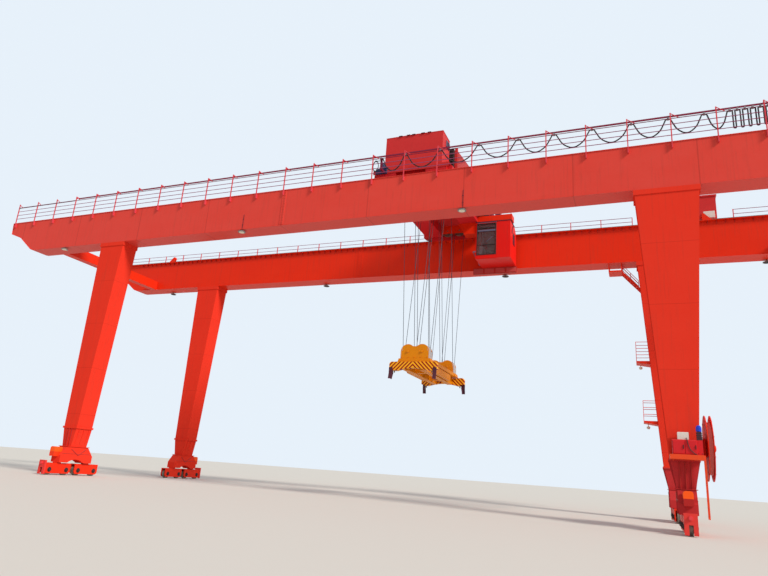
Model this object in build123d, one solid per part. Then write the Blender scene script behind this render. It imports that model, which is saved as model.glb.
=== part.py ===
from build123d import *
import os
from math import atan2, degrees, radians, tan

os.makedirs("parts", exist_ok=True)

# A rail-mounted gantry crane for containers, as a half-size model.
# Lengths are in millimetres at half of the real size.
# X runs along the girders, Y along the crane rails and Z up.
# The origin is on the level under the wheels, below the middle of the girders.

# Travel wheels and bogies
SPAN = 17750
WHEEL_TREAD_R = 150
WHEEL_FLANGE_R = 162
WHEEL_WIDTH = 80
WHEEL_FLANGE_T = 12
WHEELBASE = 620
AXLE_R = 34
FIT = 0.3
BOGIE_WIDTH = 210
BOGIE_PLATE = 30
BOGIE_OVERHANG = 150
BOGIE_BOTTOM_Z = 50
BOGIE_FRAME_Z = 360
BOGIE_TOP_Z = 385
BOGIE_PIVOT_HALF = 75
BOGIE_SPACING = 1080
BUFFER_R = 46
BUFFER_LENGTH = 50
BUFFER_Z = 345
BUFFER_BLOCK_W = 250
BUFFER_BLOCK_T = 60
BUFFER_BLOCK_Z = 432
RAIL_CLEARANCE_Z = 25
SWEEP_SLOT_W = 80
SWEEP_SLOT_Z = 215
DRIVE_WIDTH = 190
DRIVE_OVERLAP = 110
DRIVE_OVERHANG = 175
DRIVE_TOP_Z = 850
DRIVE_DROP = 40

# Saddles that spread each leg over two bogies
SADDLE_WIDTH = 360
SADDLE_LENGTH = 1240
SADDLE_END_H = 215
SADDLE_TOP_Z = 875
SADDLE_ARCH_H = 105
SADDLE_ARCH_HALF = 315
SADDLE_SHOULDER = 90
NECK_TOP_Z = 1445
NECK_TOP_WIDTH = 545
FOOT_FLANGE_T = 30
FOOT_FLANGE_EDGE = 28
STIFFENER_T = 12

# Girders
GIRDER_LENGTH = 28180
GIRDER_BOTTOM_Z = 7800
GIRDER_DEPTH = 1210
GIRDER_WIDTH = 615
GIRDER_CENTRE_Y = 2645
FLANGE_T = 14
FLANGE_EDGE = 20
RAIL_FLANGE_REACH = 90
NOSE_UPRIGHT = 455
NOSE_RAKE = 45
NOSE_SLOPE_LENGTH = 550
NOSE_SLOPE_DROP = 190
NOSE_CURVE_LENGTH = 700
NOSE_KNEE_H = 40
NOSE_LENGTH = 1480
NOSE_FILLET = 260
BRACKET_PITCH = 250
BRACKET_T = 8
BRACKET_DROP = 110
LEFT_END_BEAM_X = -11680
RIGHT_END_BEAM_X = 12150
END_BEAM_WIDTH = 300
END_BEAM_DEPTH = 370

# Trolley rails
RAIL_Y = 2360
RAIL_LENGTH = 27200
RAIL_FOOT_WIDTH = 70
RAIL_HEAD_WIDTH = 36
RAIL_WEB = 14
RAIL_HEIGHT = 62
RAIL_FOOT_T = 12
RAIL_HEAD_T = 20
LEFT_STOP_X = -10760
RIGHT_STOP_X = 10110
STOP_HEIGHT = 190

# Legs: distances from the middle of the crane rail, inward and outward
LEG_DEPTH = GIRDER_WIDTH
LEG_FOOT_HALF = 275
WIDE_LEG_TOP_IN = 708
WIDE_LEG_TOP_OUT = 708
SLIM_LEG_TOP_IN = 665
SLIM_LEG_TOP_OUT = 345
LEG_HEAD_H = 130
LEG_HEAD_EDGE = 32

# Handrails and festoon
POST_PITCH = 1000
FIRST_POST_X = -13925
POST_SIZE = 26
POST_BELOW_TOP = 190
RAILING_Y = 3010
RAILING_HEIGHT = 610
RAILING_ROWS = 4
RAILING_BAR = 14
NEAR_POST_HEIGHT = 760
FESTOON_Y = 2915
TRACK_H = 40
TRACK_W = 26
TRACK_LEFT_X = -10925
CABLE_R = 17
CABLE_BEND_R = 26
FESTOON_SAG = 430
CARRIER_W = 46
CARRIER_H = 70
LOOP_STATIONS = [1300, 2075, 3125, 4250, 5325, 6275, 7225, 8175, 9025, 9825, 10375]
PARKED_LOOPS = 5
PARKED_PITCH = 160

# Lamps
LAMP_X = [-11050, -3340, 3820, 11830]
LAMP_Y = 2920
LAMP_R = 118
LAMP_H = 42
LAMP_STEM_R = 14
LAMP_STEM_H = 34

# Electric house on the far girder
HOUSE_LEFT_X = 8680
HOUSE_RIGHT_X = 10615
HOUSE_GAP_Y = 60
HOUSE_DEPTH = 725
HOUSE_FLOOR_Z = GIRDER_BOTTOM_Z + 800
HOUSE_HEIGHT = 1540
HOUSE_ROOF_T = 30
HOUSE_ROOF_EDGE = 30
BRACKET_BEAM_H = 110
BRACKET_BEAM_W = 90
COOLER_W = 330
COOLER_H = 230
COOLER_D = 130

# Landings, stair and ladder on the far wide leg
LANDING_T = 50
LANDING_DEPTH = 520
LANDING_REACH = 390
LANDING_Z = [2740, 4540]
LANDING_RAIL_H = 600
HUNG_LANDING_LEFT_X = 7290
HUNG_LANDING_RIGHT_X = 7700
HUNG_LANDING_Z = GIRDER_BOTTOM_Z - 240
STAIR_FOOT_Z = GIRDER_BOTTOM_Z - 840
STAIR_WIDTH = 300
STRINGER_W = 22
STRINGER_H = 90
TREAD_PITCH = 95
LADDER_WIDTH = 230
LADDER_RAIL = 22
RUNG_R = 9
RUNG_PITCH = 150

# Platform, cabinets and cable reel at the near wide leg
BASE_PLATFORM_Z = 1565
BASE_PLATFORM_T = 95
BASE_PLATFORM_REACH = 430
BASE_PLATFORM_LEFT = 290
BASE_PLATFORM_RIGHT = 355
KNEE_T = 20
CABINET_LEFT = 230
CABINET_W = 460
CABINET_H = 305
CABINET_D = 330
JUNCTION_BOX_LEFT = 120
JUNCTION_BOX_W = 215
JUNCTION_BOX_H = 160
JUNCTION_BOX_D = 180
REEL_X = 9400
REEL_Y = 2300
REEL_Z = 1775
REEL_R = 700
REEL_GAP = 90
REEL_PLATE = 16
REEL_RIM = 60
REEL_HUB_R = 150
REEL_SPOKES = 10
REEL_SPOKE_W = 58
REEL_SHAFT_R = 45
WOUND_OUTER_R = 560
RUNNING_GAP = 8
MOTOR_R = 52
MOTOR_H = 95
MOTOR_CAP_H = 22
MOTOR_STAND_W = 110
MOTOR_STAND_H = 305
GEAR_W = 96
GEAR_H = 180

# Trolley frame
TROLLEY_X = 2135
FRAME_BEAM_WIDTH = 615
FRAME_OPENING = 925
FRAME_BOTTOM_Z = GIRDER_BOTTOM_Z + GIRDER_DEPTH + 120
FRAME_TOP_Z = FRAME_BOTTOM_Z + 300
FRAME_HALF_Y = 2620
CARRIAGE_WIDTH = 200
CARRIAGE_OVERHANG = 150
TROLLEY_WHEEL_R = 150
TROLLEY_WHEEL_FLANGE_R = 166
TROLLEY_WHEEL_W = 66
TROLLEY_WHEEL_SLOT = 84
TROLLEY_WHEELBASE = 1500
TROLLEY_AXLE_R = 30
DECK_T = 14
DECK_LEFT = 90
DECK_RIGHT = 90
DECK_INNER_Y = 860
FASCIA_H = 120

# Houses on the trolley
ROOM_LEFT_X = 950
ROOM_WIDTH = 1880
ROOM_NEAR_Y = 1850
ROOM_DEPTH = 700
ROOM_HEIGHT = 1535
ROOM_ROOF_T = 24
ROOM_ROOF_EDGE = 8
HOOD_LEFT_X = 1350
HOOD_RIGHT_X = 3420
HOOD_NEAR_Y = -700
HOOD_FAR_Y = 1150
HOOD_HEIGHT = 1480
HOOD_EAVES = 750
HOOD_LEFT_SLOPE = 260
HOOD_RIGHT_SLOPE = 475

# Sheaves, ropes and headblock
SHEAVE_ROOT_R = 165
SHEAVE_RIM_R = 192
SHEAVE_WIDTH = 44
GROOVE_HALF = 17
ROPE_R = 7
SHEAVE_OFFSET_X = 215
BLOCK_Y = 1250
BLOCK_SPLIT_Y = 78
BLOCK_SHEAVE_Z = 4165
TOP_SHEAVE_Z = FRAME_BOTTOM_Z + 95
TOP_OUTER_Y = 2000
TOP_INNER_Y = 330
SHEAVE_PIN_R = 26
CHEEK_T = 12

# Spreader
SPREADER_BOTTOM_Z = 3600
SPREADER_LENGTH = 3029
SPREADER_WIDTH = 1219
END_BEAM_W = 150
SPREADER_BEAM_H = 250
SPREADER_BEAM_W = 170
SPREADER_BEAM_X = 250
CENTRE_FRAME_LENGTH = 1500
CENTRE_FRAME_WIDTH = 900
END_BEAM_SPAN = 1430
HEADBLOCK_Z = 3862
HEADBLOCK_H = 100
HEADBLOCK_WIDTH = 950
HEADBLOCK_BEAM_W = 170
GUARD_R = 218
GUARD_VALLEY_H = 155
GUARD_T = 10
GUARD_HALF_Y = 150
TWISTLOCK_SPACING_X = 1129.5
TWISTLOCK_SPACING_Y = 2926.5
TWISTLOCK_R = 15
TWISTLOCK_HEAD_L = 52
TWISTLOCK_HEAD_H = 34
TWISTLOCK_NECK = 28
TWISTLOCK_SHAFT = 70
GUIDE_T = 14
GUIDE_GAP = 12
GUIDE_W = 105
GUIDE_SIDE_W = 110
GUIDE_DROP = 240
GUIDE_FLARE = 36
GUIDE_LAP = 90
GUIDE_RECESS = 40
LOCK_PIN_R = 40

# Operator's cab
CAB_LEFT_X = 3180
CAB_WIDTH = 1160
CAB_NEAR_Y = 1100
CAB_DEPTH = 1030
CAB_FLOOR_Z = FRAME_BOTTOM_Z - 1330
CAB_HEIGHT = 1300
CAB_WALL = 26
CAB_ROOF_R = 380
CAB_WINDOW_EDGE = 45
CAB_WINDOW_SILL = 130
CAB_WINDOW_H = 1100
CAB_WINDOW_W = 635
CAB_SIDE_WINDOW = 600
CAB_BASE_DEPTH = 90
CAB_BASE_LAP = 50
CAB_BASE_H = 220
CAB_BASE_LEFT = 310
CAB_BASE_RIGHT = 30
HANGER_SLAB_T = 200
HANGER_SLAB_DEPTH = 370
GLASS_T = 8
HANGER_W = 90

girder_top_z = GIRDER_BOTTOM_Z + GIRDER_DEPTH
outer_web_y = GIRDER_CENTRE_Y + GIRDER_WIDTH / 2
inner_web_y = GIRDER_CENTRE_Y - GIRDER_WIDTH / 2
rail_x = SPAN / 2
rail_top_z = girder_top_z + RAIL_HEIGHT
deck_z = FRAME_TOP_Z + DECK_T
SIDES = {"near": -1, "far": 1}
ENDS = (-1, 1)


def block(x, y, z):
    """A plate or bar between two X, two Y and two Z places."""
    size = (abs(x[1] - x[0]), abs(y[1] - y[0]), abs(z[1] - z[0]))
    centre = (sum(x) / 2, sum(y) / 2, sum(z) / 2)
    return Pos(*centre) * Box(*size)


def across_y(outline, y0, y1):
    """An outline of (x, z) points, drawn out from y0 to y1."""
    face = make_face(Polyline(*[(x, 0, z) for x, z in outline], close=True))
    return Pos(0, min(y0, y1), 0) * extrude(face, amount=abs(y1 - y0), dir=(0, 1, 0))


def across_x(outline, x0, x1):
    """An outline of (y, z) points, drawn out from x0 to x1."""
    face = make_face(Polyline(*[(0, y, z) for y, z in outline], close=True))
    return Pos(min(x0, x1), 0, 0) * extrude(face, amount=abs(x1 - x0), dir=(1, 0, 0))


def rod(start, end, radius):
    """A round bar between two points."""
    a = Vector(*start)
    b = Vector(*end)
    return extrude(Plane(origin=a, z_dir=b - a) * Circle(radius), amount=(b - a).length)


def save(name, pieces):
    """Write one node, from one solid or from several that stay apart."""
    flat = []
    for piece in pieces if isinstance(pieces, list) else [pieces]:
        flat.extend(piece.solids())
    export_step(Compound(children=flat) if len(flat) > 1 else flat[0], f"parts/{name}.step")


# Girders: the side outline rises at both ends


def girder_outline():
    tip = GIRDER_LENGTH / 2
    z = girder_top_z - NOSE_UPRIGHT
    nose = [
        (tip, girder_top_z),
        (tip - NOSE_RAKE, z),
        (tip - NOSE_RAKE - NOSE_SLOPE_LENGTH, z - NOSE_SLOPE_DROP),
        (tip - NOSE_RAKE - NOSE_SLOPE_LENGTH - NOSE_CURVE_LENGTH, GIRDER_BOTTOM_Z + NOSE_KNEE_H),
        (tip - NOSE_LENGTH, GIRDER_BOTTOM_Z),
    ]
    outline = nose + [(-x, z) for x, z in reversed(nose)]
    face = make_face(Polyline(*[(x, 0, z) for x, z in outline], close=True))
    low = girder_top_z - NOSE_UPRIGHT - NOSE_SLOPE_DROP / 2
    rounded = [
        v for v in face.vertices() if GIRDER_BOTTOM_Z + 1 < v.Z < low
    ]
    return fillet(rounded, NOSE_FILLET)


def girder(side):
    outline = girder_outline()
    y0 = side * GIRDER_CENTRE_Y - GIRDER_WIDTH / 2
    box = Pos(0, y0, 0) * extrude(outline, amount=GIRDER_WIDTH, dir=(0, 1, 0))
    rind = outline - Pos(0, 0, FLANGE_T) * outline
    rind_width = GIRDER_WIDTH + 2 * FLANGE_EDGE
    bottom = Pos(0, y0 - FLANGE_EDGE, 0) * extrude(rind, amount=rind_width, dir=(0, 1, 0))
    tip = GIRDER_LENGTH / 2
    cover_y = [side * (outer_web_y + FLANGE_EDGE), side * (inner_web_y - RAIL_FLANGE_REACH)]
    cover = block((-tip, tip), cover_y, (girder_top_z - FLANGE_T, girder_top_z))
    return box + bottom + cover


def flange_brackets():
    """Triangular stiffeners under the inner overhang of both top flanges."""
    pieces = []
    top = girder_top_z - FLANGE_T
    count = int((GIRDER_LENGTH - 2 * NOSE_LENGTH) / BRACKET_PITCH)
    for side in SIDES.values():
        web = side * inner_web_y
        lip = side * (inner_web_y - RAIL_FLANGE_REACH + 8)
        triangle = [(web, top), (lip, top), (web, top - BRACKET_DROP)]
        for i in range(count + 1):
            x = (i - count / 2) * BRACKET_PITCH
            pieces.append(across_x(triangle, x - BRACKET_T / 2, x + BRACKET_T / 2))
    return pieces


def end_beam(x):
    """A box beam between the inner webs, notched over the edges of the bottom flanges."""
    z = GIRDER_BOTTOM_Z
    flange_y = inner_web_y - FLANGE_EDGE
    width = (x - END_BEAM_WIDTH / 2, x + END_BEAM_WIDTH / 2)
    beam = block(width, (-flange_y, flange_y), (z, z + END_BEAM_DEPTH))
    return beam + block(width, (-inner_web_y, inner_web_y), (z + FLANGE_T, z + END_BEAM_DEPTH))


def trolley_rail(side):
    foot = RAIL_FOOT_WIDTH / 2
    head = RAIL_HEAD_WIDTH / 2
    web = RAIL_WEB / 2
    z = girder_top_z
    half = [
        (foot, z),
        (foot, z + RAIL_FOOT_T / 2),
        (web, z + RAIL_FOOT_T),
        (web, z + RAIL_HEIGHT - RAIL_HEAD_T),
        (head, z + RAIL_HEIGHT - RAIL_HEAD_T + 5),
        (head, z + RAIL_HEIGHT - 4),
        (head - 4, z + RAIL_HEIGHT),
    ]
    y = side * RAIL_Y
    outline = [(y + dy, z) for dy, z in half] + [(y - dy, z) for dy, z in reversed(half)]
    return across_x(outline, -RAIL_LENGTH / 2, RAIL_LENGTH / 2)


def rail_stop(side, x, towards):
    """An end stop with a sloping back, standing astride the rail."""
    z = girder_top_z
    outline = [
        (x, z),
        (x, z + STOP_HEIGHT + RAIL_HEIGHT),
        (x - towards * 60, z + STOP_HEIGHT + RAIL_HEIGHT),
        (x - towards * 260, z + 40),
        (x - towards * 260, z),
    ]
    y = side * RAIL_Y
    stop = across_y(outline, y - 60, y + 60)
    slot = block((x - 300, x + 300), (y - 40, y + 40), (z - 1, z + RAIL_HEIGHT + 1))
    buffer = rod(
        (x, y, z + RAIL_HEIGHT + STOP_HEIGHT / 2),
        (x + towards * 45, y, z + RAIL_HEIGHT + STOP_HEIGHT / 2),
        38,
    )
    return stop - slot + buffer


# Legs, saddles, bogies and wheels


def leg(end, side, top_in, top_out):
    """A tapered box leg with a head plate under the girder and a flange at its foot."""
    x = end * rail_x
    head_z = GIRDER_BOTTOM_Z - LEG_HEAD_H
    foot_z = NECK_TOP_Z + FOOT_FLANGE_T
    foot_in = x - end * LEG_FOOT_HALF
    foot_out = x + end * LEG_FOOT_HALF
    head_in = x - end * top_in
    head_out = x + end * top_out
    y = [side * GIRDER_CENTRE_Y - LEG_DEPTH / 2, side * GIRDER_CENTRE_Y + LEG_DEPTH / 2]
    shaft = across_y(
        [(foot_in, foot_z), (head_in, head_z), (head_out, head_z), (foot_out, foot_z)], *y
    )
    edge = LEG_HEAD_EDGE
    head = block(
        (head_in - end * edge, head_out + end * edge),
        (y[0] - FLANGE_EDGE, y[1] + FLANGE_EDGE),
        (head_z, GIRDER_BOTTOM_Z),
    )
    reach = FOOT_FLANGE_EDGE
    flange = block(
        (foot_in - end * reach, foot_out + end * reach),
        (y[0] - reach, y[1] + reach),
        (foot_z, foot_z + FOOT_FLANGE_T),
    )
    return shaft + head + flange


def saddle(end, side):
    """The neck under a leg and the arched beam that rests on two bogies."""
    x = end * rail_x
    y = side * GIRDER_CENTRE_Y
    reach = FOOT_FLANGE_EDGE
    half_d = LEG_DEPTH / 2
    top = block(
        (x - LEG_FOOT_HALF - reach, x + LEG_FOOT_HALF + reach),
        (y - half_d - reach, y + half_d + reach),
        (NECK_TOP_Z, NECK_TOP_Z + FOOT_FLANGE_T),
    )
    wide = Plane(origin=(x, y, NECK_TOP_Z)) * Rectangle(NECK_TOP_WIDTH, LEG_DEPTH)
    slim = Plane(origin=(x, y, SADDLE_TOP_Z)) * Rectangle(SADDLE_WIDTH, LEG_DEPTH)
    neck = loft([slim, wide])
    half = SADDLE_LENGTH / 2
    knee = half_d + SADDLE_SHOULDER
    low = BOGIE_TOP_Z
    arch_half = SADDLE_ARCH_HALF
    ring = block(
        (x - SADDLE_WIDTH / 2 - reach, x + SADDLE_WIDTH / 2 + reach),
        (y - knee - reach, y + knee + reach),
        (SADDLE_TOP_Z, SADDLE_TOP_Z + FOOT_FLANGE_T / 2),
    )
    outline = Polyline(
        (0, y - arch_half, low),
        (0, y - half, low),
        (0, y - half, low + SADDLE_END_H),
        (0, y - knee, SADDLE_TOP_Z),
        (0, y + knee, SADDLE_TOP_Z),
        (0, y + half, low + SADDLE_END_H),
        (0, y + half, low),
        (0, y + arch_half, low),
    )
    arch = ThreePointArc((0, y + arch_half, low), (0, y, low + SADDLE_ARCH_H), (0, y - arch_half, low))
    face = make_face(outline + arch)
    beam = Pos(x - SADDLE_WIDTH / 2, 0, 0) * extrude(face, amount=SADDLE_WIDTH, dir=(1, 0, 0))
    ribs = []
    for dy in (-0.62, 0, 0.62):
        rib_y = y + dy * half_d
        for s in (-1, 1):
            rib = [
                (x + s * SADDLE_WIDTH / 2, SADDLE_TOP_Z),
                (x + s * (NECK_TOP_WIDTH / 2 + reach), NECK_TOP_Z),
                (x + s * NECK_TOP_WIDTH / 4, NECK_TOP_Z),
                (x + s * SADDLE_WIDTH / 4, SADDLE_TOP_Z),
            ]
            ribs.append(across_y(rib, rib_y - STIFFENER_T / 2, rib_y + STIFFENER_T / 2))
    return top + neck + beam + ring + ribs


def bogie(end, y):
    """A two-wheel bogie frame: side plates, a middle box and a pivot block on top."""
    x = end * rail_x
    half = WHEELBASE / 2 + BOGIE_OVERHANG
    side = [
        (y - half, BOGIE_BOTTOM_Z + 60),
        (y - half, BOGIE_FRAME_Z),
        (y + half, BOGIE_FRAME_Z),
        (y + half, BOGIE_BOTTOM_Z + 60),
        (y + half - 50, BOGIE_BOTTOM_Z),
        (y - half + 50, BOGIE_BOTTOM_Z),
    ]
    frame = across_x(side, x - BOGIE_WIDTH / 2, x + BOGIE_WIDTH / 2)
    inner = BOGIE_WIDTH / 2 - BOGIE_PLATE
    pocket_half = WHEEL_FLANGE_R + 8
    for s in (-1, 1):
        centre = y + s * WHEELBASE / 2
        pocket = block(
            (x - inner, x + inner),
            (centre - s * pocket_half, centre + s * (BOGIE_OVERHANG + 1)),
            (0, WHEEL_FLANGE_R * 2 + 14),
        )
        bore = rod(
            (x - BOGIE_WIDTH, centre, WHEEL_FLANGE_R),
            (x + BOGIE_WIDTH, centre, WHEEL_FLANGE_R),
            AXLE_R + FIT,
        )
        frame = frame - pocket - bore
    pivot = block(
        (x - SADDLE_WIDTH / 4, x + SADDLE_WIDTH / 4),
        (y - BOGIE_PIVOT_HALF, y + BOGIE_PIVOT_HALF),
        (BOGIE_FRAME_Z, BOGIE_TOP_Z),
    )
    return frame + pivot


def wheel(end, y):
    """A double-flanged wheel with its axle, turned as one."""
    x = end * rail_x
    half = WHEEL_WIDTH / 2
    axle = BOGIE_WIDTH / 2 + 14
    outline = [
        (0, axle),
        (AXLE_R, axle),
        (AXLE_R, half * 0.7),
        (WHEEL_TREAD_R - 40, half * 0.45),
        (WHEEL_TREAD_R - 26, half),
        (WHEEL_FLANGE_R, half - 3),
        (WHEEL_FLANGE_R, half - WHEEL_FLANGE_T + 3),
        (WHEEL_TREAD_R, half - WHEEL_FLANGE_T),
    ]
    outline = outline + [(r, -a) for r, a in reversed(outline)]
    face = make_face(Polyline(*[(a, r, 0) for r, a in outline], close=True))
    turned = revolve(face, Axis.X)
    return Pos(x, y, WHEEL_FLANGE_R) * turned


def bogie_places():
    """The Y place of every bogie middle."""
    return [
        side * GIRDER_CENTRE_Y + s * BOGIE_SPACING / 2 for side in SIDES.values() for s in (-1, 1)
    ]


def travel_drive(end, side):
    """A rounded motor case that sits on the slope at the outer end of a saddle."""
    x = end * rail_x
    y = side * GIRDER_CENTRE_Y
    end_y = SADDLE_LENGTH / 2
    end_z = BOGIE_TOP_Z + SADDLE_END_H
    knee = LEG_DEPTH / 2 + SADDLE_SHOULDER
    rise = (SADDLE_TOP_Z - end_z) / (end_y - knee)
    outline = [
        (end_y - DRIVE_OVERLAP, end_z + DRIVE_OVERLAP * rise),
        (end_y, end_z),
        (end_y, end_z - DRIVE_DROP),
        (end_y + DRIVE_OVERHANG, end_z - DRIVE_DROP),
        (end_y + DRIVE_OVERHANG, DRIVE_TOP_Z),
        (end_y - DRIVE_OVERLAP, DRIVE_TOP_Z),
    ]
    placed = [(y + side * dy, z) for dy, z in outline]
    case = across_x(placed, x - DRIVE_WIDTH / 2, x + DRIVE_WIDTH / 2)
    return fillet(case.edges().filter_by(Axis.Y).group_by(Axis.Z)[-1], 60)


def rail_buffer(end, side):
    """The end block of an outer bogie, slotted for the wheel, with its stepped buffer."""
    x = end * rail_x
    face_y = side * (GIRDER_CENTRE_Y + BOGIE_SPACING / 2 + WHEELBASE / 2 + BOGIE_OVERHANG)
    front_y = face_y + side * BUFFER_BLOCK_T
    plate = block(
        (x - BUFFER_BLOCK_W / 2, x + BUFFER_BLOCK_W / 2),
        (face_y, front_y),
        (RAIL_CLEARANCE_Z, BUFFER_BLOCK_Z),
    )
    slot = block(
        (x - SWEEP_SLOT_W / 2, x + SWEEP_SLOT_W / 2), (face_y, front_y), (0, SWEEP_SLOT_Z)
    )
    inner = BOGIE_WIDTH / 2 - BOGIE_PLATE
    hollow = block(
        (x - inner, x + inner),
        (face_y, face_y + side * BUFFER_BLOCK_T / 2),
        (0, WHEEL_FLANGE_R * 2 + 14),
    )
    middle = front_y + side * BUFFER_LENGTH / 3
    tip = front_y + side * BUFFER_LENGTH
    foot = rod((x, front_y, BUFFER_Z), (x, middle, BUFFER_Z), BUFFER_R)
    nose = rod((x, front_y, BUFFER_Z), (x, tip, BUFFER_Z), BUFFER_R * 0.8)
    return plate - slot - hollow + foot + nose


for name, side in SIDES.items():
    save(f"{name}_girder", girder(side))
save("flange_brackets", flange_brackets())
save("end_beams", [end_beam(x) for x in (LEFT_END_BEAM_X, RIGHT_END_BEAM_X)])
save("trolley_rails", [trolley_rail(side) for side in SIDES.values()])
save(
    "rail_end_stops",
    [rail_stop(s, x, t) for s in SIDES.values() for x, t in ((LEFT_STOP_X, 1), (RIGHT_STOP_X, -1))],
)
wheel_y = [y + s * WHEELBASE / 2 for y in bogie_places() for s in (-1, 1)]
save("slim_legs", [leg(-1, side, SLIM_LEG_TOP_IN, SLIM_LEG_TOP_OUT) for side in SIDES.values()])
save("wide_legs", [leg(1, side, WIDE_LEG_TOP_IN, WIDE_LEG_TOP_OUT) for side in SIDES.values()])
save("saddles", [saddle(end, side) for end in ENDS for side in SIDES.values()])
save("bogies", [bogie(end, y) for end in ENDS for y in bogie_places()])
save("travel_wheels", [wheel(end, y) for end in ENDS for y in wheel_y])
save("travel_drives", [travel_drive(end, side) for end in ENDS for side in SIDES.values()])
save("rail_buffers", [rail_buffer(end, side) for end in ENDS for side in SIDES.values()])

# Handrails along the outer webs, and the festoon that feeds the trolley

post_places = [FIRST_POST_X + i * POST_PITCH for i in range(int(-2 * FIRST_POST_X / POST_PITCH))]
post_places.append(-FIRST_POST_X)
track_top = girder_top_z + NEAR_POST_HEIGHT - 20
track_right_x = LOOP_STATIONS[-1] + (PARKED_LOOPS + 1) * PARKED_PITCH
cable_stations = LOOP_STATIONS + [
    LOOP_STATIONS[-1] + (i + 1) * PARKED_PITCH for i in range(PARKED_LOOPS)
]


def railing(side, post_height, places):
    """Posts bolted to the outer web, with level bars between the first and the last."""
    y = side * RAILING_Y
    half = POST_SIZE / 2
    top = girder_top_z
    parts = []
    for x in places:
        parts.append(
            block((x - half, x + half), (y - half, y + half), (top - POST_BELOW_TOP, top + post_height))
        )
        parts.append(
            block(
                (x - half, x + half),
                (side * outer_web_y, y - side * half),
                (top - POST_BELOW_TOP, top - 2 * FLANGE_T),
            )
        )
    bar_half = RAILING_BAR / 2
    for row in range(RAILING_ROWS):
        z = top + RAILING_HEIGHT * (row + 1) / RAILING_ROWS
        parts.append(
            block((places[0], places[-1]), (y - bar_half, y + bar_half), (z - RAILING_BAR, z))
        )
    return parts[0] + parts[1:]


def near_railing():
    """The near handrail, whose long posts carry the festoon track on small brackets."""
    rail = railing(-1, NEAR_POST_HEIGHT, post_places)
    top = girder_top_z + NEAR_POST_HEIGHT
    inner = -RAILING_Y + POST_SIZE / 2
    tip = -FESTOON_Y + TRACK_W / 2
    root = -FESTOON_Y - TRACK_W / 2 - 4
    outline = [(inner, top), (tip, top), (tip, track_top), (root, track_top), (inner, top - 110)]
    arms = [across_x(outline, x - 5, x + 5) for x in post_places if x >= TRACK_LEFT_X]
    return rail + arms


def festoon_track():
    y = -FESTOON_Y
    return block(
        (TRACK_LEFT_X, track_right_x),
        (y - TRACK_W / 2, y + TRACK_W / 2),
        (track_top - TRACK_H, track_top),
    )


def carrier(x):
    """A runner under the track with a saddle that grips the cable bundle."""
    z = track_top - TRACK_H
    outline = [
        (x - CARRIER_W / 2, z),
        (x + CARRIER_W / 2, z),
        (x + CARRIER_W / 2, z - 18),
        (x + CARRIER_W / 4, z - 26),
        (x + CARRIER_W / 2, z - CARRIER_H + 20),
        (x + CARRIER_W / 2, z - CARRIER_H),
        (x - CARRIER_W / 2, z - CARRIER_H),
        (x - CARRIER_W / 2, z - CARRIER_H + 20),
        (x - CARRIER_W / 4, z - 26),
        (x - CARRIER_W / 2, z - 18),
    ]
    return across_y(outline, -FESTOON_Y - 24, -FESTOON_Y + 24)


def cable_loop(x0, x1):
    """One hanging loop of the cable bundle between two carriers."""
    start = x0 + CARRIER_W / 2
    end = x1 - CARRIER_W / 2
    lead = CABLE_BEND_R + 4
    z = track_top - TRACK_H - CARRIER_H + CABLE_R
    low = z - 1.1 * FESTOON_SAG
    if end - start < 4 * lead:
        hang = [(start + lead, low), (end - lead, low)]
        hang = [(start + lead, z)] + hang + [(end - lead, z)]
        bend = (end - start) / 2 - lead - 0.1
        radii = [CABLE_BEND_R, bend, bend, CABLE_BEND_R]
    else:
        shoulder = 0.18 * (end - start)
        waist = z - 0.74 * FESTOON_SAG
        middle = (start + end) / 2
        hang = [(start + lead + shoulder, waist), (middle, low), (end - lead - shoulder, waist)]
        hang = [(start + lead, z)] + hang + [(end - lead, z)]
        low_run = (Vector(*hang[2]) - Vector(*hang[1])).length
        side_r = 0.45 * low_run / tan(turn(*hang[0:3]) / 2)
        low_r = 0.45 * low_run / tan(turn(*hang[1:4]) / 2)
        radii = [CABLE_BEND_R, side_r, low_r, side_r, CABLE_BEND_R]
    points = [(start, z)] + hang + [(end, z)]
    path = FilletPolyline(*[(x, -FESTOON_Y, h) for x, h in points], radius=radii)
    section = Plane(origin=path @ 0, z_dir=path % 0) * Circle(CABLE_R)
    return sweep(section, path=path)


def turn(a, b, c):
    """The change of direction at b on the way from a to c, in radians."""
    return radians((Vector(*b) - Vector(*a)).get_angle(Vector(*c) - Vector(*b)))


save("near_railing", near_railing())
left_posts = [x for x in post_places if x < HOUSE_LEFT_X - 100]
right_posts = [x for x in post_places if x > HOUSE_RIGHT_X + 100]
save("far_railing", [railing(1, RAILING_HEIGHT, group) for group in (left_posts, right_posts)])
save("festoon_track", festoon_track())
save("festoon_carriers", [carrier(x) for x in cable_stations[1:]])
save("festoon_cable", [cable_loop(a, b) for a, b in zip(cable_stations, cable_stations[1:])])

# Lamps under both girders


def lamp(side, x):
    """A round flat lamp on a stem, turned as one."""
    z = GIRDER_BOTTOM_Z
    low = z - LAMP_STEM_H - LAMP_H
    outline = [
        (0, z),
        (LAMP_STEM_R, z),
        (LAMP_STEM_R, z - LAMP_STEM_H),
        (LAMP_R * 0.5, z - LAMP_STEM_H),
        (LAMP_R * 0.96, low + LAMP_H * 0.45),
        (LAMP_R, low + LAMP_H * 0.3),
        (LAMP_R, low),
        (0, low),
    ]
    face = make_face(Polyline(*[(r, 0, h) for r, h in outline], close=True))
    return Pos(x, side * LAMP_Y, 0) * revolve(face, Axis.Z)


save("floodlights", [lamp(side, x) for side in SIDES.values() for x in LAMP_X])

# Electric house outside the far girder

house_near_y = outer_web_y + HOUSE_GAP_Y
house_roof_z = HOUSE_FLOOR_Z + HOUSE_HEIGHT


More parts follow.
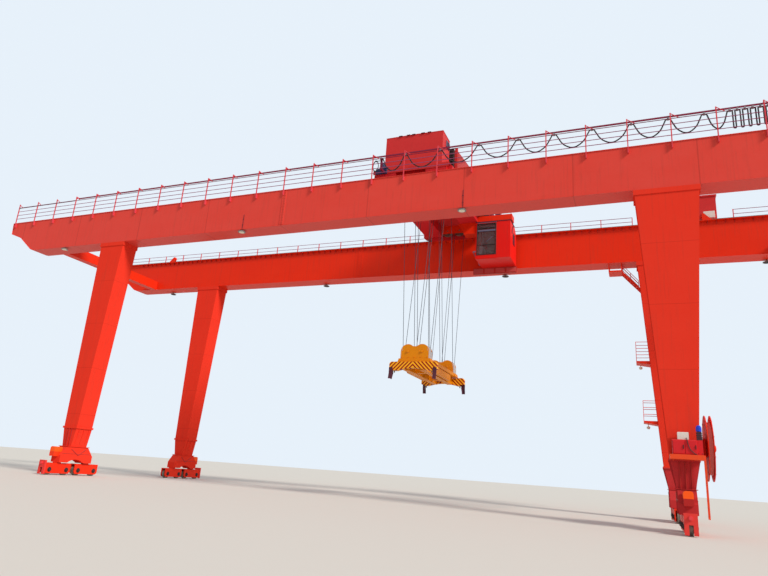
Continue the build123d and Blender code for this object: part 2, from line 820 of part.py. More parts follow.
def electric_house():
    """A closed sheet-metal house with a shallow roof that drains outward."""
    far_y = house_near_y + HOUSE_DEPTH
    walls = block((HOUSE_LEFT_X, HOUSE_RIGHT_X), (house_near_y, far_y), (HOUSE_FLOOR_Z, house_roof_z))
    edge = HOUSE_ROOF_EDGE
    roof = across_x(
        [
            (house_near_y - edge, house_roof_z),
            (house_near_y - edge, house_roof_z + HOUSE_ROOF_T + 20),
            (far_y + 10, house_roof_z + HOUSE_ROOF_T),
            (far_y + 10, house_roof_z),
        ],
        HOUSE_LEFT_X - edge,
        HOUSE_RIGHT_X + edge,
    )
    return walls + roof


def house_brackets():
    """Three cantilever beams with knees, welded to the far girder's outer web."""
    beams = []
    z = HOUSE_FLOOR_Z
    far_y = house_near_y + HOUSE_DEPTH
    outline = [
        (outer_web_y, z),
        (far_y, z),
        (far_y, z - BRACKET_BEAM_H * 0.6),
        (outer_web_y + 260, z - BRACKET_BEAM_H),
        (outer_web_y, z - 3 * BRACKET_BEAM_H),
    ]
    for share in (0.08, 0.5, 0.92):
        x = HOUSE_LEFT_X + share * (HOUSE_RIGHT_X - HOUSE_LEFT_X)
        beams.append(across_x(outline, x - BRACKET_BEAM_W / 2, x + BRACKET_BEAM_W / 2))
    return beams


def air_conditioner():
    x = HOUSE_RIGHT_X - COOLER_W / 2 - 70
    z = girder_top_z + 330
    unit = block(
        (x - COOLER_W / 2, x + COOLER_W / 2),
        (house_near_y - COOLER_D, house_near_y),
        (z, z + COOLER_H),
    )
    fan = rod(
        (x - COOLER_W * 0.15, house_near_y - COOLER_D, z + COOLER_H / 2),
        (x - COOLER_W * 0.15, house_near_y - COOLER_D - 10, z + COOLER_H / 2),
        COOLER_H * 0.4,
    )
    return fillet(unit.edges(), 8) + fan


save("electric_house", electric_house())
save("house_brackets", house_brackets())
save("air_conditioner", air_conditioner())

# Landings, stair and ladders at the far wide leg


def wide_leg_inner_x(z):
    """The X place of the inner side of the wide right leg at a height."""
    low = NECK_TOP_Z + FOOT_FLANGE_T
    high = GIRDER_BOTTOM_Z - LEG_HEAD_H
    share = (z - low) / (high - low)
    return rail_x - LEG_FOOT_HALF - share * (WIDE_LEG_TOP_IN - LEG_FOOT_HALF)


def wide_leg_outer_x(z):
    return 2 * rail_x - wide_leg_inner_x(z)


def landing(z):
    """A small platform with a guard rail on the inner side of the far wide leg."""
    y0 = GIRDER_CENTRE_Y - LANDING_DEPTH / 2
    y1 = GIRDER_CENTRE_Y + LANDING_DEPTH / 2
    wall = wide_leg_inner_x(z + LANDING_T) - 1
    x0 = wall - LANDING_REACH
    floor = across_y(
        [
            (x0, z + LANDING_T),
            (wide_leg_inner_x(z + LANDING_T), z + LANDING_T),
            (wide_leg_inner_x(z - 60), z - 60),
            (x0 + 40, z),
            (x0, z),
        ],
        y0,
        y1,
    )
    t = RAILING_BAR
    parts = []
    for y in (y0, y1 - t):
        parts.append(block((x0, x0 + t), (y, y + t), (z + LANDING_T, z + LANDING_T + LANDING_RAIL_H)))
        for row in range(3):
            h = z + LANDING_T + LANDING_RAIL_H * (row + 1) / 3
            parts.append(block((x0, wide_leg_inner_x(h)), (y, y + t), (h - t, h)))
    for row in range(3):
        h = z + LANDING_T + LANDING_RAIL_H * (row + 1) / 3
        parts.append(block((x0, x0 + t), (y0, y1), (h - t, h)))
    return floor + parts


def hung_landing():
    """The landing under the far girder, on four hangers, with the stair down to the leg."""
    y0 = GIRDER_CENTRE_Y - LANDING_DEPTH / 2
    y1 = GIRDER_CENTRE_Y + LANDING_DEPTH / 2
    z = HUNG_LANDING_Z
    x0 = HUNG_LANDING_LEFT_X
    x1 = HUNG_LANDING_RIGHT_X
    floor = block((x0, x1), (y0, y1), (z - LANDING_T, z))
    t = POST_SIZE
    hangers = [
        block((x, x + t), (y, y + t), (z, GIRDER_BOTTOM_Z)) for x in (x0, x1 - t) for y in (y0, y1 - t)
    ]
    return floor + hangers


def stair():
    """Two stringers with treads between, from the hung landing down to the leg."""
    y_mid = GIRDER_CENTRE_Y
    x0 = HUNG_LANDING_RIGHT_X
    z0 = HUNG_LANDING_Z
    z1 = STAIR_FOOT_Z
    x1 = wide_leg_inner_x(z1)
    wall_slope = (wide_leg_inner_x(z1 - STRINGER_H) - x1)
    outline = [(x0, z0), (x1, z1), (x1 + wall_slope, z1 - STRINGER_H), (x0, z0 - STRINGER_H)]
    w = STAIR_WIDTH / 2
    parts = [across_y(outline, y_mid + s * w, y_mid + s * (w - STRINGER_W)) for s in (-1, 1)]
    count = int((z0 - z1) / TREAD_PITCH)
    for i in range(1, count):
        share = i / count
        x = x0 + share * (x1 - x0)
        z = z0 + share * (z1 - z0)
        parts.append(
            block((x - 45, x + 45), (y_mid - w + 5, y_mid + w - 5), (z - 30, z - 18))
        )
    return parts[0] + parts[1:]


def ladder(x, y, z0, z1, across):
    """A straight ladder standing in the YZ or the XZ plane."""
    half = LADDER_WIDTH / 2
    r = LADDER_RAIL / 2
    parts = []
    for s in (-1, 1):
        rx = x + (s * half if across == "x" else 0)
        ry = y + (s * half if across == "y" else 0)
        parts.append(block((rx - r, rx + r), (ry - r, ry + r), (z0, z1)))
    for i in range(int((z1 - z0) / RUNG_PITCH)):
        z = z0 + (i + 0.5) * RUNG_PITCH
        a = (x - half, y, z) if across == "x" else (x, y - half, z)
        b = (x + half, y, z) if across == "x" else (x, y + half, z)
        parts.append(rod(a, b, RUNG_R))
    return parts[0] + parts[1:]


save("leg_landings", [landing(z) for z in LANDING_Z] + [hung_landing()])
save("leg_stair", stair())

# Platform, cabinets and ladder on the near face of the near wide leg

base_near_y = -outer_web_y - BASE_PLATFORM_REACH


def base_platform():
    """A plate with a deep edge beam, on two knees."""
    z = BASE_PLATFORM_Z
    low = z - BASE_PLATFORM_T
    wall = -outer_web_y - FOOT_FLANGE_EDGE
    left = rail_x - BASE_PLATFORM_LEFT
    right = rail_x + BASE_PLATFORM_RIGHT
    floor = block((left, right), (base_near_y, wall), (low, z))
    outline = [(wall, low), (base_near_y + 80, low), (wall, low - KNEE_T)]
    knees = [across_x(outline, x, x + KNEE_T) for x in (left + 60, right - 60 - KNEE_T)]
    return floor + knees


def control_cabinets():
    """Two cabinets side by side on the platform, under one bevelled top."""
    z = BASE_PLATFORM_Z
    back = -outer_web_y - 40
    left = rail_x - CABINET_LEFT
    cabinet = block((left, left + CABINET_W), (back - CABINET_D, back), (z, z + CABINET_H))
    return chamfer(cabinet.edges().filter_by(Axis.X).group_by(Axis.Z)[-1], 20)


def junction_box():
    z = BASE_PLATFORM_Z + CABINET_H
    back = -outer_web_y - 60
    left = rail_x - JUNCTION_BOX_LEFT
    box = block((left, left + JUNCTION_BOX_W), (back - JUNCTION_BOX_D, back), (z, z + JUNCTION_BOX_H))
    return chamfer(box.edges().group_by(Axis.Z)[-1], 8)


motor_x = rail_x + BASE_PLATFORM_RIGHT - MOTOR_STAND_W / 2 - 10
motor_y = -outer_web_y - 240
gear_z = BASE_PLATFORM_Z + MOTOR_STAND_H


def motor_stand():
    half = MOTOR_STAND_W / 2
    return block(
        (motor_x - half, motor_x + half), (motor_y - half, motor_y + half), (BASE_PLATFORM_Z, gear_z)
    )


def motor_gear():
    """The reel's gear case on its stand, narrowed under the motor."""
    half = GEAR_W / 2
    top = gear_z + GEAR_H
    case = block((motor_x - half, motor_x + half), (motor_y - half, motor_y + half), (gear_z, top))
    return chamfer(case.edges().group_by(Axis.Z)[-1], 14)


def reel_motor():
    z = gear_z + GEAR_H
    body = rod((motor_x, motor_y, z), (motor_x, motor_y, z + MOTOR_H), MOTOR_R)
    cap_z = z + MOTOR_H
    return body + rod((motor_x, motor_y, cap_z), (motor_x, motor_y, cap_z + MOTOR_CAP_H), MOTOR_R * 0.8)


save("base_platform", base_platform())
save("control_cabinets", control_cabinets())
save("junction_box", junction_box())
save("motor_stand", motor_stand())
save("motor_gear", motor_gear())
save("reel_motor", reel_motor())
ladder_x = rail_x + BASE_PLATFORM_RIGHT + LADDER_RAIL / 2
save("base_ladder", ladder(ladder_x, -outer_web_y - 240, 330, BASE_PLATFORM_Z, "y"))

# Cable reel on the outer side of the near wide leg


def reel():
    """Two spoked discs on a hub, open between the spokes."""
    parts = []
    for s in (-1, 1):
        inner = s * REEL_GAP / 2
        outer = s * (REEL_GAP / 2 + REEL_PLATE)
        low = min(inner, outer)
        rim = Circle(REEL_R) - Circle(REEL_R - REEL_RIM)
        disc = rim + Circle(REEL_HUB_R + 60)
        for i in range(REEL_SPOKES):
            spoke = Pos((REEL_R + REEL_HUB_R) / 2 - 20, 0) * Rectangle(REEL_R - REEL_HUB_R, REEL_SPOKE_W)
            disc = disc + Rot(0, 0, i * 360 / REEL_SPOKES) * spoke
        face = Plane(origin=(low, 0, 0), x_dir=(0, 1, 0), z_dir=(1, 0, 0)) * disc
        parts.append(extrude(face, amount=REEL_PLATE))
    reach = REEL_GAP / 2 + REEL_PLATE
    hub = rod((-reach, 0, 0), (reach, 0, 0), REEL_HUB_R)
    bore = rod((-2 * reach, 0, 0), (2 * reach, 0, 0), REEL_SHAFT_R + FIT)
    return Pos(REEL_X, -REEL_Y, REEL_Z) * (hub + parts - bore)


def wound_cable():
    """The cable wound in one flat spiral between the discs, as a closed ring."""
    half = REEL_GAP / 2 - FIT
    ring = rod((-half, 0, 0), (half, 0, 0), WOUND_OUTER_R)
    ring = ring - rod((-half, 0, 0), (half, 0, 0), REEL_HUB_R + FIT)
    return Pos(REEL_X, -REEL_Y, REEL_Z) * ring


def reel_stand():
    """A bracket on the leg that carries the reel's fixed shaft and its collars."""
    z = REEL_Z
    y = -REEL_Y
    inner = REEL_X - REEL_GAP / 2 - REEL_PLATE - RUNNING_GAP
    outer = REEL_X + REEL_GAP / 2 + REEL_PLATE
    shaft = rod((inner - 30, y, z), (outer + 40, y, z), REEL_SHAFT_R)
    collar = rod((outer + RUNNING_GAP, y, z), (outer + 40, y, z), REEL_SHAFT_R + 35)
    plate = block((inner - 50, inner), (y - 230, y + 230), (z - 200, z + 200))
    y_leg = -inner_web_y
    arm = [
        (wide_leg_outer_x(z + 150), z + 150),
        (inner - 50, z + 150),
        (inner - 50, z - 150),
        (wide_leg_outer_x(z - 150), z - 150),
    ]
    web = across_y(arm, y_leg - 160, y_leg - 20)
    return plate + shaft + collar + web


save("cable_reel", reel())
save("reel_cable", wound_cable())
save("reel_stand", reel_stand())

# Trolley frame: two box beams across both rails, joined by carriages over the rails

beam_in = FRAME_OPENING / 2
beam_out = beam_in + FRAME_BEAM_WIDTH


def trolley_frame():
    z = (FRAME_BOTTOM_Z, FRAME_TOP_Z)
    parts = []
    for s in (-1, 1):
        x = (TROLLEY_X + s * beam_in, TROLLEY_X + s * beam_out)
        parts.append(block(x, (-FRAME_HALF_Y, FRAME_HALF_Y), z))
    for side in SIDES.values():
        y = side * RAIL_Y
        reach = beam_out + CARRIAGE_OVERHANG
        outline = [
            (TROLLEY_X - reach, FRAME_BOTTOM_Z + 60),
            (TROLLEY_X - reach, FRAME_TOP_Z - 40),
            (TROLLEY_X - reach + 60, FRAME_TOP_Z),
            (TROLLEY_X + reach - 60, FRAME_TOP_Z),
            (TROLLEY_X + reach, FRAME_TOP_Z - 40),
            (TROLLEY_X + reach, FRAME_BOTTOM_Z + 60),
            (TROLLEY_X + reach - 80, FRAME_BOTTOM_Z),
            (TROLLEY_X - reach + 80, FRAME_BOTTOM_Z),
        ]
        parts.append(across_y(outline, y - CARRIAGE_WIDTH / 2, y + CARRIAGE_WIDTH / 2))
    frame = parts[0] + parts[1:]
    slot = TROLLEY_WHEEL_SLOT / 2
    for side in SIDES.values():
        for s in (-1, 1):
            x = TROLLEY_X + s * TROLLEY_WHEELBASE / 2
            y = side * RAIL_Y
            reach = TROLLEY_WHEEL_FLANGE_R + 12
            wheel_z = rail_top_z + TROLLEY_WHEEL_R + FIT
            frame = frame - block(
                (x - reach, x + reach), (y - slot, y + slot), (FRAME_BOTTOM_Z - 1, wheel_z + reach)
            )
            a = CARRIAGE_WIDTH / 2 + 6 + FIT
            frame = frame - rod((x, y - a, wheel_z), (x, y + a, wheel_z), TROLLEY_AXLE_R + FIT)
    return frame


def trolley_wheel(side, s):
    """A double-flanged trolley wheel with its axle, turned as one."""
    half = TROLLEY_WHEEL_W / 2
    lip = (TROLLEY_WHEEL_W - RAIL_HEAD_WIDTH - 10) / 2
    axle = CARRIAGE_WIDTH / 2 + 6
    outline = [
        (0, axle),
        (TROLLEY_AXLE_R, axle),
        (TROLLEY_AXLE_R, half * 0.7),
        (TROLLEY_WHEEL_R - 40, half * 0.4),
        (TROLLEY_WHEEL_R - 26, half),
        (TROLLEY_WHEEL_FLANGE_R, half - 2),
        (TROLLEY_WHEEL_FLANGE_R, half - lip + 2),
        (TROLLEY_WHEEL_R, half - lip),
    ]
    outline = outline + [(r, -a) for r, a in reversed(outline)]
    face = make_face(Polyline(*[(r, a, 0) for r, a in outline], close=True))
    turned = revolve(face, Axis.Y)
    x = TROLLEY_X + s * TROLLEY_WHEELBASE / 2
    return Pos(x, side * RAIL_Y, rail_top_z + TROLLEY_WHEEL_R + FIT) * turned


def trolley_deck():
    """Deck plates over the near and the far part of the frame, with a fascia along the near edge."""
    z = (FRAME_TOP_Z, deck_z)
    left = min(TROLLEY_X - beam_out - DECK_LEFT, ROOM_LEFT_X - ROOM_ROOF_EDGE)
    right = TROLLEY_X + beam_out + DECK_RIGHT
    fascia_y = -FRAME_HALF_Y - DECK_T
    near = block((left, right), (fascia_y, -DECK_INNER_Y), z)
    fascia = block((left, right), (fascia_y, -FRAME_HALF_Y), (FRAME_TOP_Z - FASCIA_H, FRAME_TOP_Z))
    middle = block((left, max(right, HOOD_RIGHT_X + 20)), (HOOD_NEAR_Y - 60, FRAME_HALF_Y), z)
    return [near + fascia, middle]


def machinery_room():
    """A closed sheet-metal room with a roof that overhangs on all sides."""
    x0 = ROOM_LEFT_X
    x1 = ROOM_LEFT_X + ROOM_WIDTH
    y0 = -ROOM_NEAR_Y
    y1 = -ROOM_NEAR_Y + ROOM_DEPTH
    walls = block((x0, x1), (y0, y1), (deck_z, deck_z + ROOM_HEIGHT))
    edge = ROOM_ROOF_EDGE
    z = deck_z + ROOM_HEIGHT
    ridge = ((x0 + x1) / 2, z + ROOM_ROOF_T)
    outline = [(x0 - edge, z), (x0 - edge, z + 12), ridge, (x1 + edge, z + 12), (x1 + edge, z)]
    return walls + across_y(outline, y0 - edge, y1 + edge)


def winch_hood():
    """The rain hood over the winch, with sloping sides under a flat top."""
    z = deck_z
    outline = [
        (HOOD_LEFT_X, z),
        (HOOD_LEFT_X, z + HOOD_EAVES),
        (HOOD_LEFT_X + HOOD_LEFT_SLOPE, z + HOOD_HEIGHT),
        (HOOD_RIGHT_X - HOOD_RIGHT_SLOPE, z + HOOD_HEIGHT),
        (HOOD_RIGHT_X, z + HOOD_EAVES),
        (HOOD_RIGHT_X, z),
    ]
    return across_y(outline, HOOD_NEAR_Y, HOOD_FAR_Y)


save("trolley_frame", trolley_frame())
save("trolley_wheels", [trolley_wheel(side, s) for side in SIDES.values() for s in (-1, 1)])
save("trolley_deck", trolley_deck())
save("machinery_room", machinery_room())
save("winch_hood", winch_hood())

# Sheaves and hoist ropes: each rope loop leans in the plane of its two sheaves

rope_pitch_r = SHEAVE_ROOT_R + ROPE_R + FIT
falls = []
for side in SIDES.values():
    for row in (1, -1):
        low_y = side * (BLOCK_Y + row * BLOCK_SPLIT_Y)
        high_y = side * (TOP_OUTER_Y if row > 0 else TOP_INNER_Y)
        for s in (-1, 1):
            x = TROLLEY_X + s * SHEAVE_OFFSET_X
            falls.append((x, low_y, high_y, side * row))


def lean(low_y, high_y):
    """The lean of a rope loop from upright, in degrees, towards +Y."""
    return degrees(atan2(high_y - low_y, TOP_SHEAVE_Z - BLOCK_SHEAVE_Z))


def sheave(x, y, z, tilt, pin_low, pin_high):
    """A grooved sheave with its pin, turned as one, its plane leaning by the tilt."""
    rim = SHEAVE_WIDTH / 2
    disc = [
        (SHEAVE_PIN_R, 30),
        (SHEAVE_PIN_R + 30, 30),
        (SHEAVE_PIN_R + 34, 12),
        (SHEAVE_ROOT_R - 14, 12),
        (SHEAVE_RIM_R, rim),
        (SHEAVE_RIM_R, GROOVE_HALF),
        (SHEAVE_ROOT_R, ROPE_R),
    ]
    outline = [(0, pin_high), (SHEAVE_PIN_R, pin_high)] + disc
    outline += [(r, -a) for r, a in reversed(disc)] + [(SHEAVE_PIN_R, -pin_low), (0, -pin_low)]
    face = make_face(Polyline(*[(r, a, 0) for r, a in outline], close=True))
    return Pos(x, y, z) * Rot(-tilt, 0, 0) * revolve(face, Axis.Y)


def pin_hole(x, y, z, tilt):
    """The bore that a leaning sheave pin needs in the plates around it."""
    hole = rod((0, -200, 0), (0, 200, 0), SHEAVE_PIN_R + FIT)
    return Pos(x, y, z) * Rot(-tilt, 0, 0) * hole


def rope_loop(x, low_y, high_y):
    """One rope loop: two straight falls, round the lower and over the upper sheave."""
    rise = Vector(0, high_y - low_y, TOP_SHEAVE_Z - BLOCK_SHEAVE_Z)
    plane = Plane(
        origin=(x, low_y, BLOCK_SHEAVE_Z), x_dir=(1, 0, 0), z_dir=Vector(1, 0, 0).cross(rise)
    )
    r = rope_pitch_r
    h = rise.length
    path = (
        Line((r, 0), (r, h))
        + ThreePointArc((r, h), (0, h + r), (-r, h))
        + Line((-r, h), (-r, 0))
        + ThreePointArc((-r, 0), (0, -r), (r, 0))
    )
    placed = plane * path
    section = Plane(origin=plane.from_local_coords((r, 0, 0)), z_dir=rise) * Circle(ROPE_R)
    return sweep(section, path=placed)


row_half = SHEAVE_WIDTH / 2 + 38 + CHEEK_T


def sheave_beams():
    """Pairs of plates across the frame opening, which hold the upper sheave pins."""
    plates = []
    z = (FRAME_BOTTOM_Z, FRAME_TOP_Z)
    for row_y in (-TOP_OUTER_Y, -TOP_INNER_Y, TOP_INNER_Y, TOP_OUTER_Y):
        for s in (-1, 1):
            y = (row_y + s * (row_half - CHEEK_T), row_y + s * row_half)
            plate = block((TROLLEY_X - beam_in, TROLLEY_X + beam_in), y, z)
            for x, low_y, high_y, _ in falls:
                if high_y == row_y:
                    plate = plate - pin_hole(x, high_y, TOP_SHEAVE_Z, lean(low_y, high_y))
            plates.append(plate)
    return plates


upper_pin = row_half + 6
save("sheave_beams", sheave_beams())
save(
    "trolley_sheaves",
    [sheave(x, hy, TOP_SHEAVE_Z, lean(ly, hy), upper_pin, upper_pin) for x, ly, hy, _ in falls],
)
save("hoist_ropes", [rope_loop(x, ly, hy) for x, ly, hy, _ in falls])

# Headblock and spreader

headblock_top = HEADBLOCK_Z + HEADBLOCK_H
frame_top = SPREADER_BOTTOM_Z + SPREADER_BEAM_H


def headblock():
    """Two beams along the spreader, closed by a broad box at each end under the sheaves."""
    z = (HEADBLOCK_Z, headblock_top)
    parts = []
    for s in (-1, 1):
        x = s * (HEADBLOCK_WIDTH / 2 - HEADBLOCK_BEAM_W / 2)
        parts.append(
            block(
                (TROLLEY_X + x - HEADBLOCK_BEAM_W / 2, TROLLEY_X + x + HEADBLOCK_BEAM_W / 2),
                (-BLOCK_Y, BLOCK_Y),
                z,
            )
        )
    for side in SIDES.values():
        y = side * BLOCK_Y
        outline = [
            (TROLLEY_X - HEADBLOCK_WIDTH / 2 - 30, z[0]),
            (TROLLEY_X - HEADBLOCK_WIDTH / 2, z[1]),
            (TROLLEY_X + HEADBLOCK_WIDTH / 2, z[1]),
            (TROLLEY_X + HEADBLOCK_WIDTH / 2 + 30, z[0]),
        ]
        parts.append(across_y(outline, y - GUARD_HALF_Y - 25, y + GUARD_HALF_Y + 25))
    return parts[0] + parts[1:]


def sheave_guards():
    """Double-humped cheek plates on both sides of each sheave pair, bored for the pins."""
    plates = []
    base = HEADBLOCK_WIDTH / 2 - 40
    for side in SIDES.values():
        for s in (-1, 1):
            hump = Pos(SHEAVE_OFFSET_X, 0) * Circle(GUARD_R) + Pos(-SHEAVE_OFFSET_X, 0) * Circle(GUARD_R)
            valley = Pos(0, GUARD_VALLEY_H / 2) * Rectangle(2 * SHEAVE_OFFSET_X, GUARD_VALLEY_H)
            low = BLOCK_SHEAVE_Z - headblock_top
            skirt = Pos(0, -low / 2) * Rectangle(2 * base, low)
            face = (hump + valley + skirt) & Pos(0, (GUARD_R - low) / 2) * Rectangle(4 * base, GUARD_R + low)
            y = side * BLOCK_Y + s * GUARD_HALF_Y
            plane = Plane(origin=(TROLLEY_X, y, BLOCK_SHEAVE_Z), x_dir=(s, 0, 0), z_dir=(0, -s, 0))
            plate = extrude(plane * face, amount=GUARD_T)
            for x, low_y, high_y, _ in falls:
                if (low_y - side * BLOCK_Y) * s > 0 and low_y * side > 0:
                    plate = plate - pin_hole(x, low_y, BLOCK_SHEAVE_Z, lean(low_y, high_y))
            plates.append(plate)
    return plates


def block_sheave(x, low_y, high_y, outward):
    """A lower sheave, whose pin runs out through the cheek plate beside it."""
    long_pin = GUARD_HALF_Y - BLOCK_SPLIT_Y + 8
    low, high = (36, long_pin) if outward > 0 else (long_pin, 36)
    return sheave(x, low_y, BLOCK_SHEAVE_Z, lean(low_y, high_y), low, high)


def spreader_frame():
    """Two telescoping box beams, the centre frame round them and its lock posts."""
    z = (SPREADER_BOTTOM_Z + 30, frame_top)
    half = SPREADER_LENGTH / 2 - END_BEAM_W
    parts = []
    for s in (-1, 1):
        x = TROLLEY_X + s * SPREADER_BEAM_X
        parts.append(
            block((x - SPREADER_BEAM_W / 2, x + SPREADER_BEAM_W / 2), (-half, half), z)
        )
        y = s * (CENTRE_FRAME_LENGTH / 2 - 60)
        parts.append(
            block(
                (TROLLEY_X - CENTRE_FRAME_WIDTH / 2, TROLLEY_X + CENTRE_FRAME_WIDTH / 2),
                (y - 60, y + 60),
                (z[0] + 20, z[1]),
            )
        )
        side_x = TROLLEY_X + s * (CENTRE_FRAME_WIDTH / 2 - 40)
        parts.append(
            block(
                (side_x - 40, side_x + 40),
                (-CENTRE_FRAME_LENGTH / 2, CENTRE_FRAME_LENGTH / 2),
                (z[0] + 20, z[1]),
            )
        )
    for s in (-1, 1):
        for t in (-1, 1):
            x = TROLLEY_X + s * (HEADBLOCK_WIDTH / 2 - HEADBLOCK_BEAM_W / 2)
            y = t * (CENTRE_FRAME_LENGTH / 2 - 60)
            parts.append(rod((x, y, z[1] - 10), (x, y, HEADBLOCK_Z), LOCK_PIN_R))
    return parts[0] + parts[1:]


def spreader_end(side):
    """A cross beam over the container's end, cut away in an arch between its feet."""
    y1 = side * SPREADER_LENGTH / 2
    y0 = y1 - side * END_BEAM_W
    half = END_BEAM_SPAN / 2
    foot = SPREADER_WIDTH / 2 - 130
    z = SPREADER_BOTTOM_Z
    pad = SPREADER_WIDTH / 2
    outline = Polyline(
        (-foot, 0, z),
        (-pad, 0, z),
        (-pad, 0, z + GUIDE_RECESS),
        (-half, 0, z + GUIDE_RECESS),
        (-half, 0, frame_top - 50),
        (-half + 50, 0, frame_top),
        (half - 50, 0, frame_top),
        (half, 0, frame_top - 50),
        (half, 0, z + GUIDE_RECESS),
        (pad, 0, z + GUIDE_RECESS),
        (pad, 0, z),
        (foot, 0, z),
    )
    arch = ThreePointArc((foot, 0, z), (0, 0, z + 75), (-foot, 0, z))
    face = make_face(outline + arch)
    beam = Pos(TROLLEY_X, min(y0, y1), 0) * extrude(face, amount=END_BEAM_W, dir=(0, 1, 0))
    for s in (-1, 1):
        x, y = lock_place(s, side)
        beam = beam - rod((x, y, z - 1), (x, y, z + TWISTLOCK_SHAFT), TWISTLOCK_R + FIT)
    return beam


def lock_place(s, side):
    return (TROLLEY_X + s * TWISTLOCK_SPACING_X / 2, side * TWISTLOCK_SPACING_Y / 2)


def twistlock(s, side):
    """A lock pin in its bore, with a long head that points along the container."""
    x, y = lock_place(s, side)
    z = SPREADER_BOTTOM_Z
    neck = rod((x, y, z + TWISTLOCK_SHAFT), (x, y, z - TWISTLOCK_NECK - 10), TWISTLOCK_R)
    wide = Plane(origin=(x, y, z - TWISTLOCK_NECK)) * Rectangle(2 * TWISTLOCK_R, TWISTLOCK_HEAD_L)
    slim = Plane(origin=(x, y, z - TWISTLOCK_NECK - TWISTLOCK_HEAD_H)) * Rectangle(
        TWISTLOCK_R, TWISTLOCK_HEAD_L / 2
    )
    return neck + loft([slim, wide])


def corner_guide(s, side):
    """Two bent flaps at one corner of the container, outside its end and outside its side."""
    z = SPREADER_BOTTOM_Z
    low = z - GUIDE_DROP
    bend = z - GUIDE_DROP / 3
    top = z + GUIDE_RECESS

    def bent(start, out, head):
        """The section of a flap that hangs from a height and bends outward near its foot."""
        t = out * GUIDE_T
        flare = start + out * GUIDE_FLARE
        return [
            (start, head),
            (start + t, head),
            (start + t, bend),
            (flare + t, low),
            (flare, low),
            (start, bend),
        ]

    y = side * SPREADER_LENGTH / 2
    far_x = TROLLEY_X + s * END_BEAM_SPAN / 2
    near_x = far_x - s * GUIDE_W
    end_flap = across_x(bent(y, side, z + GUIDE_LAP), min(near_x, far_x), max(near_x, far_x))
    side_x = TROLLEY_X + s * (SPREADER_WIDTH / 2 + GUIDE_GAP)
    y_in = y - side * GUIDE_SIDE_W
    side_flap = across_y(bent(side_x, s, top), min(y_in, y), max(y_in, y))
    return end_flap + side_flap


save("headblock", headblock())
save("sheave_guards", sheave_guards())
save("headblock_sheaves", [block_sheave(*fall) for fall in falls])
save("spreader_frame", spreader_frame())
save("spreader_ends", [spreader_end(side) for side in SIDES.values()])
save("twistlocks", [twistlock(s, side) for side in SIDES.values() for s in (-1, 1)])
save("corner_guides", [corner_guide(s, side) for side in SIDES.values() for s in (-1, 1)])

# Operator's cab under the trolley, its hanger and the tow arm of the festoon

cab_right_x = CAB_LEFT_X + CAB_WIDTH
cab_far_y = CAB_NEAR_Y + CAB_DEPTH
cab_roof_z = CAB_FLOOR_Z + CAB_HEIGHT


def cab_form(inset):
    """The closed form of the cab, with its round far eaves, drawn in by an inset."""
    outline = [
        (CAB_NEAR_Y + inset, CAB_FLOOR_Z + inset),
        (CAB_NEAR_Y + inset, cab_roof_z - inset),
        (cab_far_y - inset, cab_roof_z - inset),
        (cab_far_y - inset, CAB_FLOOR_Z + inset),
    ]
    form = across_x(outline, CAB_LEFT_X + inset, cab_right_x - inset)
    eaves = form.edges().filter_by(Axis.X).filter_by(
        lambda e: e.center().Y > cab_far_y - 2 * inset - 1 and e.center().Z > cab_roof_z - 2 * inset - 1
    )
    return fillet(eaves, CAB_ROOF_R - inset)


window_x = (CAB_LEFT_X + CAB_WINDOW_EDGE, CAB_LEFT_X + CAB_WINDOW_EDGE + CAB_WINDOW_W)
window_z = (CAB_FLOOR_Z + CAB_WINDOW_SILL, CAB_FLOOR_Z + CAB_WINDOW_SILL + CAB_WINDOW_H)
side_window_y = (CAB_NEAR_Y + 90, CAB_NEAR_Y + 90 + CAB_SIDE_WINDOW)
floor_window_y = (CAB_NEAR_Y + 90, CAB_NEAR_Y + 420)


def cab_shell():
    shell = cab_form(0) - cab_form(CAB_WALL)
    shell = shell - block(window_x, (CAB_NEAR_Y - 1, CAB_NEAR_Y + CAB_WALL + 1), window_z)
    shell = shell - block((CAB_LEFT_X - 1, CAB_LEFT_X + CAB_WALL + 1), side_window_y, window_z)
    return shell - block(window_x, floor_window_y, (CAB_FLOOR_Z - 1, CAB_FLOOR_Z + CAB_WALL + 1))


def cab_windows():
    """One pane in each opening, let into the middle of the wall."""
    m = (CAB_WALL - GLASS_T) / 2
    return [
        block(window_x, (CAB_NEAR_Y + m, CAB_NEAR_Y + m + GLASS_T), window_z),
        block((CAB_LEFT_X + m, CAB_LEFT_X + m + GLASS_T), side_window_y, window_z),
        block(window_x, floor_window_y, (CAB_FLOOR_Z + m, CAB_FLOOR_Z + m + GLASS_T)),
    ]


def cab_base():
    """The equipment case along the far edge of the cab's floor, longer than the cab."""
    y0 = cab_far_y - CAB_BASE_LAP
    x0 = CAB_LEFT_X - CAB_BASE_LEFT
    x1 = cab_right_x + CAB_BASE_RIGHT
    return block((x0, x1), (y0, y0 + CAB_BASE_DEPTH), (CAB_FLOOR_Z - CAB_BASE_H, CAB_FLOOR_Z))


def cab_hanger():
    """The slab beside the trolley frame and the four hangers that carry the cab."""
    x = (TROLLEY_X + beam_out, cab_right_x + 40)
    y0 = CAB_NEAR_Y + 30
    y1 = y0 + HANGER_SLAB_DEPTH
    slab = block(x, (y0, y1), (FRAME_BOTTOM_Z, FRAME_BOTTOM_Z + HANGER_SLAB_T))
    half = HANGER_W / 2
    for hx in (CAB_LEFT_X + 160, cab_right_x - 160):
        for hy in (y0 + half, y1 - half):
            slab = slab + block((hx - half, hx + half), (hy - half, hy + half), (cab_roof_z, FRAME_BOTTOM_Z))
    return slab


